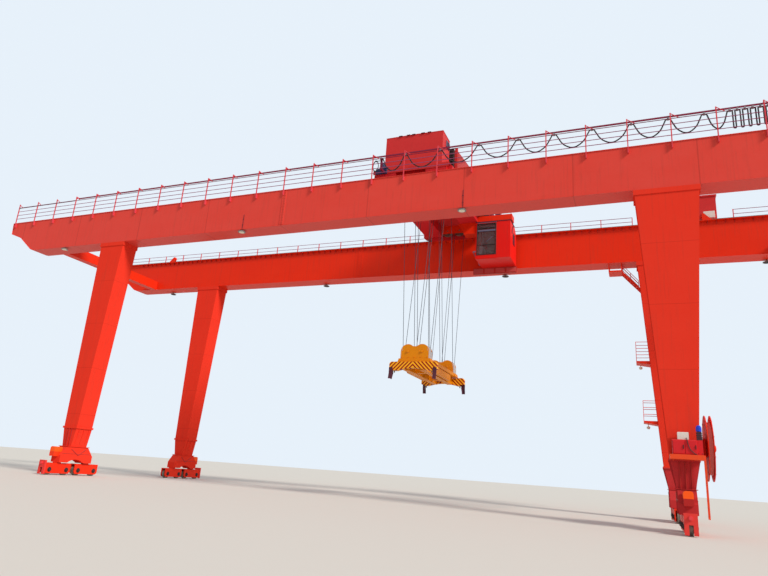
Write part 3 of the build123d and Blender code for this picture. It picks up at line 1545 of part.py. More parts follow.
def tow_arm():
    """The arm from the near carriage that pulls the first festoon loop along."""
    x1 = LOOP_STATIONS[0] + CARRIER_W / 2 - FIT
    x0 = x1 - 60
    inner = -FESTOON_Y + 45
    z = FRAME_TOP_Z - 110
    saddle_z = track_top - TRACK_H - CARRIER_H
    arm = block((x0, x1), (inner, -FRAME_HALF_Y - DECK_T), (z, z + 60))
    post = block((x0, x1), (inner - 20, inner + 20), (z, saddle_z + 30))
    grip = block((x0, x1), (-FESTOON_Y - 24, inner), (saddle_z - 6, saddle_z + 2 * CABLE_R + 4))
    return arm + post + grip


def trolley_railing():
    """The guard rail along the far edge of the deck."""
    y = FRAME_HALF_Y - POST_SIZE
    t = POST_SIZE / 2
    x0 = TROLLEY_X - beam_out
    x1 = TROLLEY_X + beam_out
    parts = []
    for i in range(3):
        x = x0 + POST_SIZE + i * (x1 - x0 - 2 * POST_SIZE) / 2
        parts.append(block((x - t, x + t), (y - t, y + t), (deck_z, deck_z + RAILING_HEIGHT)))
    for row in range(3):
        z = deck_z + RAILING_HEIGHT * (row + 1) / 3
        parts.append(block((x0 + POST_SIZE, x1 - POST_SIZE), (y - t / 2, y + t / 2), (z - RAILING_BAR, z)))
    return parts[0] + parts[1:]


save("cab_shell", cab_shell())
save("cab_windows", cab_windows())
save("cab_base", cab_base())
save("cab_hanger", cab_hanger())
save("tow_arm", tow_arm())
save("trolley_railing", trolley_railing())
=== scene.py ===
# %% [markdown]
# A rail-mounted gantry crane at half its real size.
# The construction comes packed as a fixed frame. Here every surface gets its finish,
# and small pieces are modelled that a crane builder bolts on last.
# Everything is in metres, in the frame's own axes: X along the girders, Z up.

# %% Load the frame
from math import cos, pi, radians, sin

import bpy
from mathutils import Matrix, Vector


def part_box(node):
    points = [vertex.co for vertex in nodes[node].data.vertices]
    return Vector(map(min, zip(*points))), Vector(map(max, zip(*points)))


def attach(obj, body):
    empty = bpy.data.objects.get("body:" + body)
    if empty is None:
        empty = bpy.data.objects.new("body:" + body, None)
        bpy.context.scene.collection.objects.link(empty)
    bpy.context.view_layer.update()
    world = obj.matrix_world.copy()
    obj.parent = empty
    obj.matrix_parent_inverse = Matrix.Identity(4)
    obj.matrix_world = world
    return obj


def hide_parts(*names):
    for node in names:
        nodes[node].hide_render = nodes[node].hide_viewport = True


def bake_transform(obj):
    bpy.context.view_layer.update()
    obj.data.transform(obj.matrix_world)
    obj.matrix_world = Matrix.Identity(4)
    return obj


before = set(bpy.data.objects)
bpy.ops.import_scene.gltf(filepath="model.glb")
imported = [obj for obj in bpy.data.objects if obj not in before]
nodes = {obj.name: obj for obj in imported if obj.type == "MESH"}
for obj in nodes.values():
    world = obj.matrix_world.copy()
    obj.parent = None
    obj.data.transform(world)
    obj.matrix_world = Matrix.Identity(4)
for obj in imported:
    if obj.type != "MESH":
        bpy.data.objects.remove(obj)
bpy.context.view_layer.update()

# %% [markdown]
# The photographer stood at the near rail and looked up along the crane. The camera gets that
# place, tilt and lens. Its axes are given as three unit vectors.

# %% Camera
CAMERA_PLACE = (8.1125, -17.7835, 0.7955)
CAMERA_RIGHT = (0.9237, 0.3768, 0.0692)
CAMERA_UP = (0.0470, -0.2907, 0.9557)
CAMERA_AHEAD = (-0.3802, 0.8795, 0.2862)
CAMERA_LENS_MM = 28.786

camera_data = bpy.data.cameras.new("camera")
camera_data.lens = CAMERA_LENS_MM
camera_data.clip_end = 500
camera = bpy.data.objects.new("camera", camera_data)
bpy.context.scene.collection.objects.link(camera)
turn = Matrix((CAMERA_RIGHT, CAMERA_UP, [-a for a in CAMERA_AHEAD])).transposed()
camera.matrix_world = Matrix.Translation(CAMERA_PLACE) @ turn.to_4x4()
bpy.context.scene.camera = camera
print("camera height:", round(camera.location.z, 2))

# %% [markdown]
# A pale floor and a soft, even light show the paint as it is.
# A broad sun from the right and the front makes the sides that face it brighter,
# as in the open air. The sky is pale to the camera, and plain light to everything else.

# %% Light and floor
SUN_FROM = Vector((0.84, -0.36, 0.66))
SUN_COLOUR = (1, 0.91, 0.80)
SUN_STRENGTH = 3.0
SUN_SOFTNESS = radians(14)
SKY_STRENGTH = 0.56
SKY_LIGHT = (0.93, 0.96, 1, 1)
SKY_SEEN = (0.80, 0.88, 0.96, 1)
FLOOR_SIZE = 400
FLOOR_COLOUR = (0.66, 0.65, 0.62, 1)


def fill(node, values):
    """Set the inputs of a node by their names."""
    for socket, value in values.items():
        node.inputs[socket].default_value = value


def new_material(name):
    """A new material, with its node tree and its shader."""
    material = bpy.data.materials.new(name)
    material.use_nodes = True
    return material, material.node_tree, material.node_tree.nodes["Principled BSDF"]


bpy.context.scene.view_settings.view_transform = "Standard"
sun_data = bpy.data.lights.new("sun", "SUN")
sun_data.energy = SUN_STRENGTH
sun_data.color = SUN_COLOUR
sun_data.angle = SUN_SOFTNESS
sun = bpy.data.objects.new("sun", sun_data)
sun.rotation_euler = SUN_FROM.to_track_quat("Z", "Y").to_euler()
bpy.context.scene.collection.objects.link(sun)

world = bpy.data.worlds.new("sky")
bpy.context.scene.world = world
world.use_nodes = True
sky = world.node_tree
sky.nodes.clear()
sky_out, sky_mix, sky_light, sky_picture, sky_path = [
    sky.nodes.new("ShaderNode" + kind)
    for kind in ("OutputWorld", "MixShader", "Background", "Background", "LightPath")
]
fill(sky_light, {"Strength": SKY_STRENGTH, "Color": SKY_LIGHT})
fill(sky_picture, {"Color": SKY_SEEN})
seen = sky_path.outputs["Is Camera Ray"]
for i, source in enumerate((seen, sky_light.outputs[0], sky_picture.outputs[0])):
    sky.links.new(source, sky_mix.inputs[i])
sky.links.new(sky_mix.outputs[0], sky_out.inputs[0])

bpy.ops.object.select_all(action="DESELECT")
bpy.ops.mesh.primitive_plane_add(size=FLOOR_SIZE)
floor = bpy.context.object
floor.name = "floor"
material, tree, shader = new_material("floor")
fill(shader, {"Base Color": FLOOR_COLOUR, "Roughness": 0.9})
floor.data.materials.append(material)
print("floor:", floor.dimensions[:2])

# %% [markdown]
# Crane paint is one coat with a slight sheen. Close up it shows three things: the broad
# plates are a little wavy, rain draws faint streaks down them, and dust dulls them.
# These effects are the same on every painted piece, so they live in one node group
# with named inputs, and each paint sets its own amounts.

# %% A node group for weathered paint
STREAK_COLOUR = (0.23, 0.05, 0.035, 1)
DUST_COLOUR = (0.46, 0.38, 0.30, 1)


def srgb(red, green, blue):
    """A colour from 0 to 255, as the linear values that a shader needs."""
    parts = [c / 255 for c in (red, green, blue)]
    return [c / 12.92 if c <= 0.04045 else ((c + 0.055) / 1.055) ** 2.4 for c in parts] + [1]


def new_group(name, inputs, outputs):
    """An empty node group with its sockets and its two end nodes. A tuple is a colour."""
    group = bpy.data.node_groups.new(name, "ShaderNodeTree")
    for in_out, sockets in (("INPUT", inputs), ("OUTPUT", outputs)):
        for socket, value in sockets.items():
            kind = "NodeSocketColor" if isinstance(value, tuple) else "NodeSocketFloat"
            made = group.interface.new_socket(socket, in_out=in_out, socket_type=kind)
            made.default_value = value
    return group, group.nodes.new("NodeGroupInput"), group.nodes.new("NodeGroupOutput")


def object_place(tree):
    """The place on the piece, in its own axes."""
    return tree.nodes.new("ShaderNodeTexCoord").outputs["Object"]


def split_axes(tree, vector):
    """The X, Y and Z of a vector, as three outputs."""
    node = tree.nodes.new("ShaderNodeSeparateXYZ")
    tree.links.new(vector, node.inputs[0])
    return node.outputs


def stretched(tree, place, scale):
    """The place, scaled by a different factor along each axis."""
    node = tree.nodes.new("ShaderNodeMapping")
    fill(node, {"Scale": scale})
    tree.links.new(place, node.inputs["Vector"])
    return node.outputs["Vector"]


def noise(tree, place, scale, detail=3, roughness=0.55):
    """The grey value of a noise texture at the place."""
    node = tree.nodes.new("ShaderNodeTexNoise")
    fill(node, {"Scale": scale, "Detail": detail, "Roughness": roughness})
    tree.links.new(place, node.inputs["Vector"])
    return node.outputs[0]


def math(tree, operation, a, b=None, clamp=False):
    """One step of arithmetic on numbers or outputs."""
    node = tree.nodes.new("ShaderNodeMath")
    node.operation = operation
    node.use_clamp = clamp
    for socket, value in zip(node.inputs, (a, b)):
        if isinstance(value, (int, float)):
            socket.default_value = value
        elif value is not None:
            tree.links.new(value, socket)
    return node.outputs[0]


def mix_colour(tree, factor, a, b):
    """Colour a where the factor is 0, and colour b where it is 1."""
    node = tree.nodes.new("ShaderNodeMix")
    node.data_type = "RGBA"
    for socket, value in ((node.inputs[0], factor), (node.inputs[6], a), (node.inputs[7], b)):
        if isinstance(value, bpy.types.NodeSocket):
            tree.links.new(value, socket)
        else:
            socket.default_value = value
    return node.outputs[2]


def add_bump(tree, shader, height, strength, distance):
    """Tilt the shader's normals by the slope of a height."""
    bump = tree.nodes.new("ShaderNodeBump")
    fill(bump, {"Strength": strength, "Distance": distance})
    tree.links.new(height, bump.inputs["Height"])
    tree.links.new(bump.outputs[0], shader.inputs["Normal"])


paint_group, group_in, group_out = new_group(
    "weathered paint",
    {
        "Paint": (0.7, 0.05, 0.03, 1), "Faded": (0.8, 0.12, 0.08, 1), "Fade": 0.25,
        "Streaks": 0.3, "Dust": 0.2, "Plate Scale": 1.0, "Gloss": 0.38,
    },
    {"Colour": (0, 0, 0, 1), "Roughness": 0.0, "Height": 0.0},
)
tree = paint_group
asked = group_in.outputs
place = object_place(tree)
patches = noise(tree, stretched(tree, place, (0.7, 0.7, 1.4)), 1.6, 4)
fade = math(tree, "MULTIPLY", patches, asked["Fade"])
colour = mix_colour(tree, fade, asked["Paint"], asked["Faded"])
streaks = noise(tree, stretched(tree, place, (9, 9, 0.5)), 2.2, 5, 0.6)
streaks = math(tree, "MULTIPLY", math(tree, "SUBTRACT", streaks, 0.52), 4.0, clamp=True)
streaks = math(tree, "MULTIPLY", streaks, asked["Streaks"])
colour = mix_colour(tree, streaks, colour, STREAK_COLOUR)
normal = tree.nodes.new("ShaderNodeNewGeometry").outputs["Normal"]
upward = math(tree, "MAXIMUM", split_axes(tree, normal)["Z"], 0.15)
dust = math(tree, "MULTIPLY", noise(tree, place, 14, 6, 0.65), upward)
dust = math(tree, "MULTIPLY", dust, asked["Dust"])
colour = mix_colour(tree, dust, colour, DUST_COLOUR)
tree.links.new(colour, group_out.inputs["Colour"])
rough = math(tree, "ADD", asked["Gloss"], math(tree, "MULTIPLY", dust, 0.8))
rough = math(tree, "ADD", rough, math(tree, "MULTIPLY", patches, 0.12))
tree.links.new(rough, group_out.inputs["Roughness"])
wave = math(tree, "MULTIPLY", noise(tree, place, 1.4, 1), asked["Plate Scale"])
orange_peel = math(tree, "MULTIPLY", noise(tree, place, 260, 2), 0.02)
tree.links.new(math(tree, "ADD", wave, orange_peel), group_out.inputs["Height"])
print("paint group sockets:", len(paint_group.interface.items_tree))

# %% [markdown]
# Long girders and legs are welded from plates, and each weld shows as a thin raised line.
# A second group draws such lines at an even pitch along X and along Z, with a shallow ridge.

# %% A node group for weld lines
weld_group, weld_in, weld_out = new_group(
    "weld lines",
    {"Pitch X": 1.25, "Start X": 0.0, "Pitch Z": 100.0, "Start Z": 0.0, "Half Width": 0.008},
    {"Line": 0.0},
)


def off_grid(tree, along, pitch, start):
    """How far a place is from the nearest line of an even row, as a share of the pitch."""
    cell = math(tree, "DIVIDE", math(tree, "SUBTRACT", along, start), pitch)
    return math(tree, "ABSOLUTE", math(tree, "SUBTRACT", cell, math(tree, "ROUND", cell)))


tree = weld_group
place = split_axes(tree, object_place(tree))
lines = []
for axis in ("X", "Z"):
    pitch = weld_in.outputs[f"Pitch {axis}"]
    off = off_grid(tree, place[axis], pitch, weld_in.outputs[f"Start {axis}"])
    distance = math(tree, "MULTIPLY", off, pitch)
    share = math(tree, "DIVIDE", distance, weld_in.outputs["Half Width"])
    lines.append(math(tree, "SUBTRACT", 1.0, share, clamp=True))
tree.links.new(math(tree, "MAXIMUM", *lines), weld_out.inputs["Line"])
print("weld group nodes:", len(weld_group.nodes))

# %% [markdown]
# Each painted material mixes these groups with its own colours. The colours are read as
# the paint looks in even light, so that the render shows them about as they are written.

# %% Painted materials
RED = (228, 40, 6)
RED_FADED = (240, 58, 18)
LEG_RED = (228, 53, 37)
LEG_RED_FADED = (240, 70, 47)
# The darker red holds painted shade as well as dirt.
SHADE_AND_DIRT_RED = (178, 38, 36)
SEAM_COLOUR = (0.12, 0.01, 0.008, 1)


def painted(
    name, paint, faded, fade=0.3, streaks=0.22, dust=0.12, waves=0.2, gloss=0.36, shine=0.16,
    welds=None,
):
    """A painted material: weathered paint, and weld lines where they are asked for."""
    material, tree, shader = new_material(name)
    group = tree.nodes.new("ShaderNodeGroup")
    group.node_tree = paint_group
    fill(group, {"Paint": srgb(*paint), "Faded": srgb(*faded), "Fade": fade, "Streaks": streaks})
    fill(group, {"Dust": dust, "Plate Scale": waves, "Gloss": gloss})
    colour = group.outputs["Colour"]
    height = group.outputs["Height"]
    if welds:
        seam = tree.nodes.new("ShaderNodeGroup")
        seam.node_tree = weld_group
        fill(seam, welds)
        share = math(tree, "MULTIPLY", seam.outputs["Line"], 0.35)
        colour = mix_colour(tree, share, colour, SEAM_COLOUR)
        height = math(tree, "ADD", height, math(tree, "MULTIPLY", seam.outputs["Line"], 0.25))
    add_bump(tree, shader, height, 0.25, 0.012)
    tree.links.new(colour, shader.inputs["Base Color"])
    tree.links.new(group.outputs["Roughness"], shader.inputs["Roughness"])
    fill(shader, {"Specular IOR Level": shine})
    return material


WELDS = {"Pitch X": 2.8775, "Start X": -1.895}
WIDE_WELDS = {**WELDS, "Half Width": 0.022}
LEG_WELDS = {"Pitch X": 100.0, "Pitch Z": 1.5, "Start Z": 1.9}
girder_paint = painted(
    "girder paint", (220, 60, 48), (228, 88, 80), dust=0.2, waves=1, welds=WIDE_WELDS
)
web_paint = painted("far girder paint", RED, RED_FADED, waves=1, welds=WELDS)
leg_paint = painted("leg paint", LEG_RED, LEG_RED_FADED, waves=1, shine=0, welds=LEG_WELDS)
foot_paint = painted("foot paint", LEG_RED, LEG_RED_FADED, waves=0.5, shine=0)
plain_red = painted("red paint", RED, RED_FADED, waves=0.5)
# The saddle paint's darker red is painted shade, with streaks and dust as dirt.
saddle_paint = painted("saddle paint", SHADE_AND_DIRT_RED, (196, 60, 54), streaks=0.4, dust=0.3, waves=0.4)
room_paint = painted("room paint", (200, 40, 44), (214, 64, 60), fade=0.4, streaks=0.12, waves=1.6)
railing_paint = painted("railing paint", (212, 56, 72), (224, 90, 100), fade=0.5, dust=0.1)
cover_paint = painted("cover paint", (188, 72, 72), (200, 96, 92))
hood_paint = painted("hood paint", (222, 96, 98), (236, 140, 136), waves=0.3)
crimson_paint = painted("crimson paint", (208, 28, 38), (222, 52, 56))
cab_paint = painted("cab paint", (228, 22, 20), (236, 46, 30), dust=0.04, waves=0.6)
platform_paint = painted("platform paint", (232, 72, 30), (240, 96, 50))
top_bar_paint = painted("top bar paint", (104, 34, 64), (128, 56, 84))
orange_paint = painted(
    "spreader paint", (226, 136, 0), (234, 148, 4), streaks=0.18, waves=0.3, dust=0.05
)
drive_paint = painted("drive paint", (255, 84, 10), (255, 120, 40), streaks=0.1)
grey_paint = painted("grey paint", (176, 178, 182), (205, 206, 208), waves=0.3, streaks=0.3)
dark_blue = painted("dark blue paint", (34, 44, 84), (62, 74, 116))
blue_grey = painted("blue grey paint", (104, 104, 132), (128, 128, 152))
dark_paint = painted("dark paint", (74, 34, 52), (110, 62, 80))
track_paint = painted("track paint", (128, 30, 62), (150, 52, 84), waves=0.1)
blue_paint = painted("blue paint", (28, 74, 220), (70, 112, 232), gloss=0.25)
stripe_paint = painted("stripe paint", (250, 172, 20), (255, 190, 50), streaks=0.1, dust=0.05)
print("painted materials:", len([m for m in bpy.data.materials if "paint" in m.name]))

# %% [markdown]
# Bare metal and rubber need other values: a worn tread is bright and smooth where it rolls,
# galvanised steel is mottled grey, and rope and cable are dark with a fine lay.

# %% Metal, rubber and glass


def worn(name, colour, dark, metallic, roughness, scale, bump_depth):
    """Metal or rubber with a mottled colour and a fine uneven surface."""
    material, tree, shader = new_material(name)
    spot = object_place(tree)
    mottled = mix_colour(tree, noise(tree, spot, scale, 6, 0.7), srgb(*dark), srgb(*colour))
    tree.links.new(mottled, shader.inputs["Base Color"])
    fine = noise(tree, spot, scale * 9, 3)
    rough = math(tree, "ADD", math(tree, "MULTIPLY", fine, 0.3), roughness - 0.15)
    tree.links.new(rough, shader.inputs["Roughness"])
    fill(shader, {"Metallic": metallic})
    add_bump(tree, shader, fine, 0.3, bump_depth)
    return material


galvanised = worn("galvanised", (168, 170, 174), (120, 122, 128), 0.55, 0.5, 12, 0.001)
rail_steel = worn("rail steel", (150, 140, 132), (92, 70, 56), 0.6, 0.45, 6, 0.001)
wheel_steel = worn("wheel steel", (158, 152, 142), (98, 84, 72), 0.5, 0.45, 9, 0.001)
rope_steel = worn("greased rope", (62, 72, 90), (34, 40, 54), 0.0, 0.5, 60, 0.0005)
cable_rubber = worn("cable rubber", (40, 38, 42), (22, 21, 24), 0.0, 0.55, 40, 0.0004)
wound_rubber = worn("wound cable", (248, 165, 150), (232, 110, 104), 0.0, 0.6, 18, 0.003)
seat_leather = worn("seat leather", (186, 150, 116), (126, 84, 62), 0.0, 0.6, 26, 0.003)
buffer_rubber = worn("buffer rubber", (240, 66, 70), (216, 46, 52), 0.0, 0.6, 30, 0.0006)
lamp_metal = worn("lamp metal", (150, 150, 152), (96, 92, 92), 0.3, 0.45, 14, 0.0006)
lens_glass = worn("lamp lens", (236, 232, 214), (214, 208, 186), 0.0, 0.25, 30, 0.0004)
dark_steel = worn("dark steel", (66, 50, 52), (40, 28, 30), 0.2, 0.55, 16, 0.0008)
pale_plastic = worn("pale plastic", (232, 230, 224), (208, 205, 198), 0.0, 0.45, 20, 0.0004)

glass, tree, shader = new_material("tinted glass")
fill(shader, {"Base Color": srgb(196, 186, 192), "Transmission Weight": 0.9})
fill(shader, {"Roughness": 0.04, "IOR": 1.2})
print("materials:", len(bpy.data.materials))

# %% [markdown]
# Some pieces of the frame carry two colours, because a painter's tape follows no seam, and on
# some of them shade is painted in. The colour then depends on the place on the piece: the
# handrail's posts are brighter than its bars, and the travel drives are bright above only.
# On the right the drives' lower halves and the saddles are darker: that is painted shade.
# The spreader's cross beams carry danger stripes that meet in the middle like arrow heads:
# the distance from the middle plus the height gives lines that lean on both halves.

# %% Two-coloured paints
POST_START_X = -13.925
POST_HALF = 0.016
TOP_BAR_Z = 9.60
DRIVE_SPLIT_Z = 0.70
NOSE_Y = 3.706
STRIPE_PITCH = 0.115
STRIPE_SHARPNESS = 30
low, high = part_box("spreader_ends")
spreader_mid_x = (low.x + high.x) / 2


def two_coloured(name, first, choose, second):
    """A painted material that turns to a second colour where choose gives 1."""
    material = first.copy()
    material.name = name
    tree = material.node_tree
    shader = tree.nodes["Principled BSDF"]
    base = shader.inputs["Base Color"].links[0].from_socket
    share = choose(tree, split_axes(tree, object_place(tree)))
    tree.links.new(mix_colour(tree, share, base, srgb(*second)), shader.inputs["Base Color"])
    return material


def beside_posts(tree, place):
    """1 between the posts, which stand one metre apart."""
    off = off_grid(tree, place["X"], 1.0, POST_START_X)
    return math(tree, "GREATER_THAN", off, POST_HALF)


def on_top_bar(tree, place):
    """1 on the top bar and the track between the posts."""
    high = math(tree, "GREATER_THAN", place["Z"], TOP_BAR_Z)
    return math(tree, "MULTIPLY", high, beside_posts(tree, place))


def on_the_right(tree, place):
    """1 on the half of the crane with the wide legs."""
    return math(tree, "GREATER_THAN", place["X"], 0.0)


def low_on_drive(tree, place):
    """1 on the lower half of a travel drive."""
    return math(tree, "LESS_THAN", place["Z"], DRIVE_SPLIT_Z)


def low_on_the_right(tree, place):
    """1 on the lower half of the travel drives on the right, where shade is painted."""
    return math(tree, "MULTIPLY", low_on_drive(tree, place), on_the_right(tree, place))


def inside_block(tree, place):
    """1 on the buffer's end block, 0 on the round nose that stands out from it."""
    return math(tree, "LESS_THAN", math(tree, "ABSOLUTE", place["Y"]), NOSE_Y)


def on_dark_stripe(tree, place):
    """1 on the dark stripes of the spreader's cross beams."""
    off = math(tree, "ABSOLUTE", math(tree, "SUBTRACT", place["X"], spreader_mid_x))
    lean = math(tree, "ADD", off, place["Z"])
    wave = math(tree, "FRACT", math(tree, "DIVIDE", lean, STRIPE_PITCH))
    return math(tree, "MULTIPLY", math(tree, "SUBTRACT", wave, 0.5), STRIPE_SHARPNESS, clamp=True)


rail_bars = two_coloured("bar paint", railing_paint, beside_posts, (146, 78, 112))
railing_tones = two_coloured("near railing paint", rail_bars, on_top_bar, (112, 34, 66))
drive_tones = two_coloured("two-tone drive paint", drive_paint, low_on_drive, (240, 60, 22))
# On the right the drives' lower halves turn a darker red: painted shade.
drive_tones = two_coloured("drive paint with painted shade low on the right", drive_tones, low_on_the_right, SHADE_AND_DIRT_RED)
# On the right half the saddles turn a darker red: painted shade.
saddle_shade_tones = two_coloured("saddle paint with painted shade on the right", foot_paint, on_the_right, (190, 56, 58))
buffer_tones = two_coloured("two-tone buffer", buffer_rubber, inside_block, (222, 46, 38))
stripes = two_coloured("danger stripes", stripe_paint, on_dark_stripe, (148, 14, 12))
print("stripes lean from x =", round(spreader_mid_x, 3))

# %% [markdown]
# The frame's pieces keep their shapes. Each one gets the finish of the real piece.

# %% Dress the frame's nodes
FINISHES = {
    girder_paint: "near_girder",
    web_paint: "far_girder",
    leg_paint: "slim_legs wide_legs",
    plain_red: "end_beams bogies sheave_beams cab_hanger house_brackets leg_landings leg_stair "
    "cable_reel reel_stand rail_end_stops",
    # The saddles carry painted shade on the right half.
    saddle_shade_tones: "saddles",
    # The cab base and the flange brackets take the darker red of painted shade.
    saddle_paint: "cab_base flange_brackets",
    room_paint: "machinery_room winch_hood electric_house trolley_deck",
    cab_paint: "cab_shell",
    crimson_paint: "control_cabinets motor_stand trolley_frame",
    railing_tones: "near_railing",
    rail_bars: "far_railing",
    railing_paint: "trolley_railing",
    orange_paint: "headblock sheave_guards spreader_frame",
    dark_paint: "corner_guides motor_gear",
    stripes: "spreader_ends",
    # On the right the drives' lower halves carry painted shade.
    drive_tones: "travel_drives",
    platform_paint: "base_platform base_ladder",
    blue_paint: "reel_motor",
    galvanised: "festoon_carriers",
    track_paint: "festoon_track tow_arm",
    rail_steel: "trolley_rails twistlocks",
    wheel_steel: "travel_wheels trolley_wheels trolley_sheaves headblock_sheaves",
    rope_steel: "hoist_ropes",
    cable_rubber: "festoon_cable",
    wound_rubber: "reel_cable",
    buffer_tones: "rail_buffers",
    lamp_metal: "floodlights",
    pale_plastic: "air_conditioner junction_box",
    glass: "cab_windows",
}
for material, names in FINISHES.items():
    for name in names.split():
        for material_slot in nodes[name].material_slots:
            material_slot.material = material
print("dressed nodes:", sum(len(names.split()) for names in FINISHES.values()))

# %% [markdown]
# The small pieces are modelled as by hand. A primitive is added at its size and place, then
# shaped in edit mode. Every tool acts on all that is selected, so nothing is selected before
# a new piece starts. A finished piece has its place in its mesh, a finish, and a body to ride on.

# %% Helpers for small pieces


def clear(piece=None):
    """Nothing is selected, or the given piece alone."""
    bpy.ops.object.select_all(action="DESELECT")
    if piece:
        piece.select_set(True)
        bpy.context.view_layer.objects.active = piece


def edit(tool, **settings):
    """The active piece, after one tool in edit mode on all of its mesh."""
    bpy.ops.object.mode_set(mode="EDIT")
    bpy.ops.mesh.select_all(action="SELECT")
    tool(**settings)
    bpy.ops.object.mode_set(mode="OBJECT")
    return bpy.context.object


def around(middle, half):
    """Two places at the same distance from a middle."""
    return (middle - half, middle + half)


def block(x, y, z, edge=0.004):
    """A box between two places along each axis, with every edge bevelled."""
    clear()
    bpy.ops.mesh.primitive_cube_add(size=1, location=[sum(pair) / 2 for pair in (x, y, z)])
    bpy.context.object.scale = [abs(pair[1] - pair[0]) for pair in (x, y, z)]
    bpy.ops.object.transform_apply()
    return edit(bpy.ops.mesh.bevel, offset=edge, segments=1, affect="EDGES")


def bar(start, end, radius, sides=8):
    """A round bar between two points, with both ends bevelled."""
    clear()
    start, end = Vector(start), Vector(end)
    bpy.ops.mesh.primitive_cylinder_add(
        vertices=sides, radius=radius, depth=(end - start).length, location=(start + end) / 2,
        rotation=(end - start).to_track_quat("Z", "Y").to_euler(),
    )
    bpy.ops.object.transform_apply()
    bpy.ops.object.mode_set(mode="EDIT")
    bpy.ops.mesh.select_all(action="DESELECT")
    bpy.ops.mesh.select_face_by_sides(number=4, type="GREATER", extend=False)
    bpy.ops.mesh.bevel(offset=radius * 0.15, segments=1, affect="EDGES")
    bpy.ops.object.mode_set(mode="OBJECT")
    return bpy.context.object


def pin(start, axis, length, radius, sides=8):
    """A round bar from a point along one of the frame's axes."""
    end = list(start)
    end["XYZ".index(axis)] += length
    return bar(start, end, radius, sides)


def joined(pieces):
    """One piece made of several."""
    clear(pieces[0])
    for piece in pieces:
        piece.select_set(True)
    bpy.ops.object.join()
    return bpy.context.object


def applied(piece, kind, **settings):
    """The piece after one modifier with these settings."""
    clear(piece)
    modifier = piece.modifiers.new(kind.lower(), kind)
    for key, value in settings.items():
        setattr(modifier, key, value)
    bpy.ops.object.modifier_apply(modifier=modifier.name)
    return piece


def row(piece, count, step):
    """The piece in a row of copies, each one step further."""
    return applied(
        piece, "ARRAY", count=count, use_relative_offset=False, use_constant_offset=True,
        constant_offset_displace=step,
    )


def mirrored(pieces, x=False, y=False):
    """The pieces joined, with their mirror images across the frame's middle planes."""
    return applied(joined(pieces), "MIRROR", use_axis=(x, y, False), use_mirror_merge=False)


def finished(piece, name, material):
    """The piece with smooth round sides, a name, a finish and a slot."""
    clear(piece)
    bpy.ops.object.shade_smooth_by_angle(angle=radians(30))
    piece.name = piece.data.name = name
    piece.data.materials.clear()
    piece.data.materials.append(material)
    return piece


def settle(piece, name, material, body="gantry"):
    """Finish a piece, or a list to be joined, and let it ride on a body."""
    if isinstance(piece, list):
        piece = joined(piece)
    clear(piece)
    bpy.ops.object.transform_apply()
    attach(finished(piece, name, material), body)
    print(name, "faces:", len(piece.data.polygons))


# %% [markdown]
# Each wheel turns in two bearings, and each bearing hides under a round cover that is bolted
# to the bogie's side plate. A cover is two low cylinders, like the turned real one, with six
# bolts. A mirror modifier carries one corner's covers to the other three.

# %% Bearing covers on the bogies
RAIL_X = 8.875
LEG_Y = 2.645
BOGIE_HALF_WIDTH = 0.105
AXLE_Y = (1.795, 2.415, 2.875, 3.495)
AXLE_Z = 0.162
COVER_R = 0.072


def bolt_circle(x, centre, radius, count, length, size, sides=6, first=0.0):
    """Bolt heads in a circle on a wall that faces along X."""
    heads = []
    for i in range(count):
        turn = (i + first) * 2 * pi / count
        place = (x, centre[0] + cos(turn) * radius, centre[1] + sin(turn) * radius)
        heads.append(pin(place, "X", length, size, sides))
    return heads


covers = []
for y in AXLE_Y:
    for side in (1, -1):
        x = RAIL_X + side * BOGIE_HALF_WIDTH
        covers.append(pin((x - side * 0.004, y, AXLE_Z), "X", side * 0.02, COVER_R, 20))
        covers.append(pin((x + side * 0.016, y, AXLE_Z), "X", side * 0.018, COVER_R * 0.55, 16))
        covers += bolt_circle(x, (y, AXLE_Z), COVER_R * 0.78, 6, side * 0.026, 0.008)
settle(mirrored(covers, x=True, y=True), "bearing_covers", dark_steel)

# %% [markdown]
# The necks over the saddles carry the whole crane. Upright ribs keep their plates from
# buckling, and on each saddle two ribs meet in a V. They are thin blocks and bars that stand
# out from the plates.

# %% Ribs on the necks and saddles
WEB_Y = 2.9525
NECK_Z = (0.885, 1.44)
SADDLE_HALF_WIDTH = 0.18

ribs = []
for offset in (-0.11, 0, 0.11):
    depth = 0.0275 if offset else 0.0375
    ribs.append(block(around(RAIL_X + offset, 0.007), (WEB_Y - 0.01, WEB_Y + depth), NECK_Z))
for side in (-1, 1):
    face = RAIL_X + side * SADDLE_HALF_WIDTH
    for y in (2.89, 2.34):
        ribs.append(bar((face, 2.60, 0.615), (face, y, 0.80), 0.016, 6))
    ribs.append(bar((face, 2.08, 0.66), (face, 3.21, 0.66), 0.008, 6))
# The ribs take the saddle paint, whose darker red is painted shade.
settle(mirrored(ribs, x=True, y=True), "neck_ribs", saddle_paint)

# %% [markdown]
# The foot of each leg is bolted down through two flanges, with a row of hexagon heads along
# each edge. A bolt is a six-sided bar, and an array modifier repeats it.

# %% Flange bolts at the feet of the legs
FOOT_Z = 1.475
FLANGE_EDGE = 0.014
rows = []
for y in (WEB_Y + FLANGE_EDGE, LEG_Y * 2 - WEB_Y - FLANGE_EDGE):
    head = pin((RAIL_X - 0.25, y, FOOT_Z - 0.002), "Z", 0.02, 0.011, 6)
    rows.append(row(head, 11, (0.05, 0, 0)))
settle(mirrored(rows, x=True, y=True), "foot_bolts", dark_steel)

# %% [markdown]
# The girders come to the site in lengths and are joined with bolted splice plates on both
# webs. Each plate gets its bolts in two columns, made with two array modifiers.

# %% Splice plates on the girders
INNER_WEB_Y = 2.3375
SPLICE_Z = (7.84, 8.97)


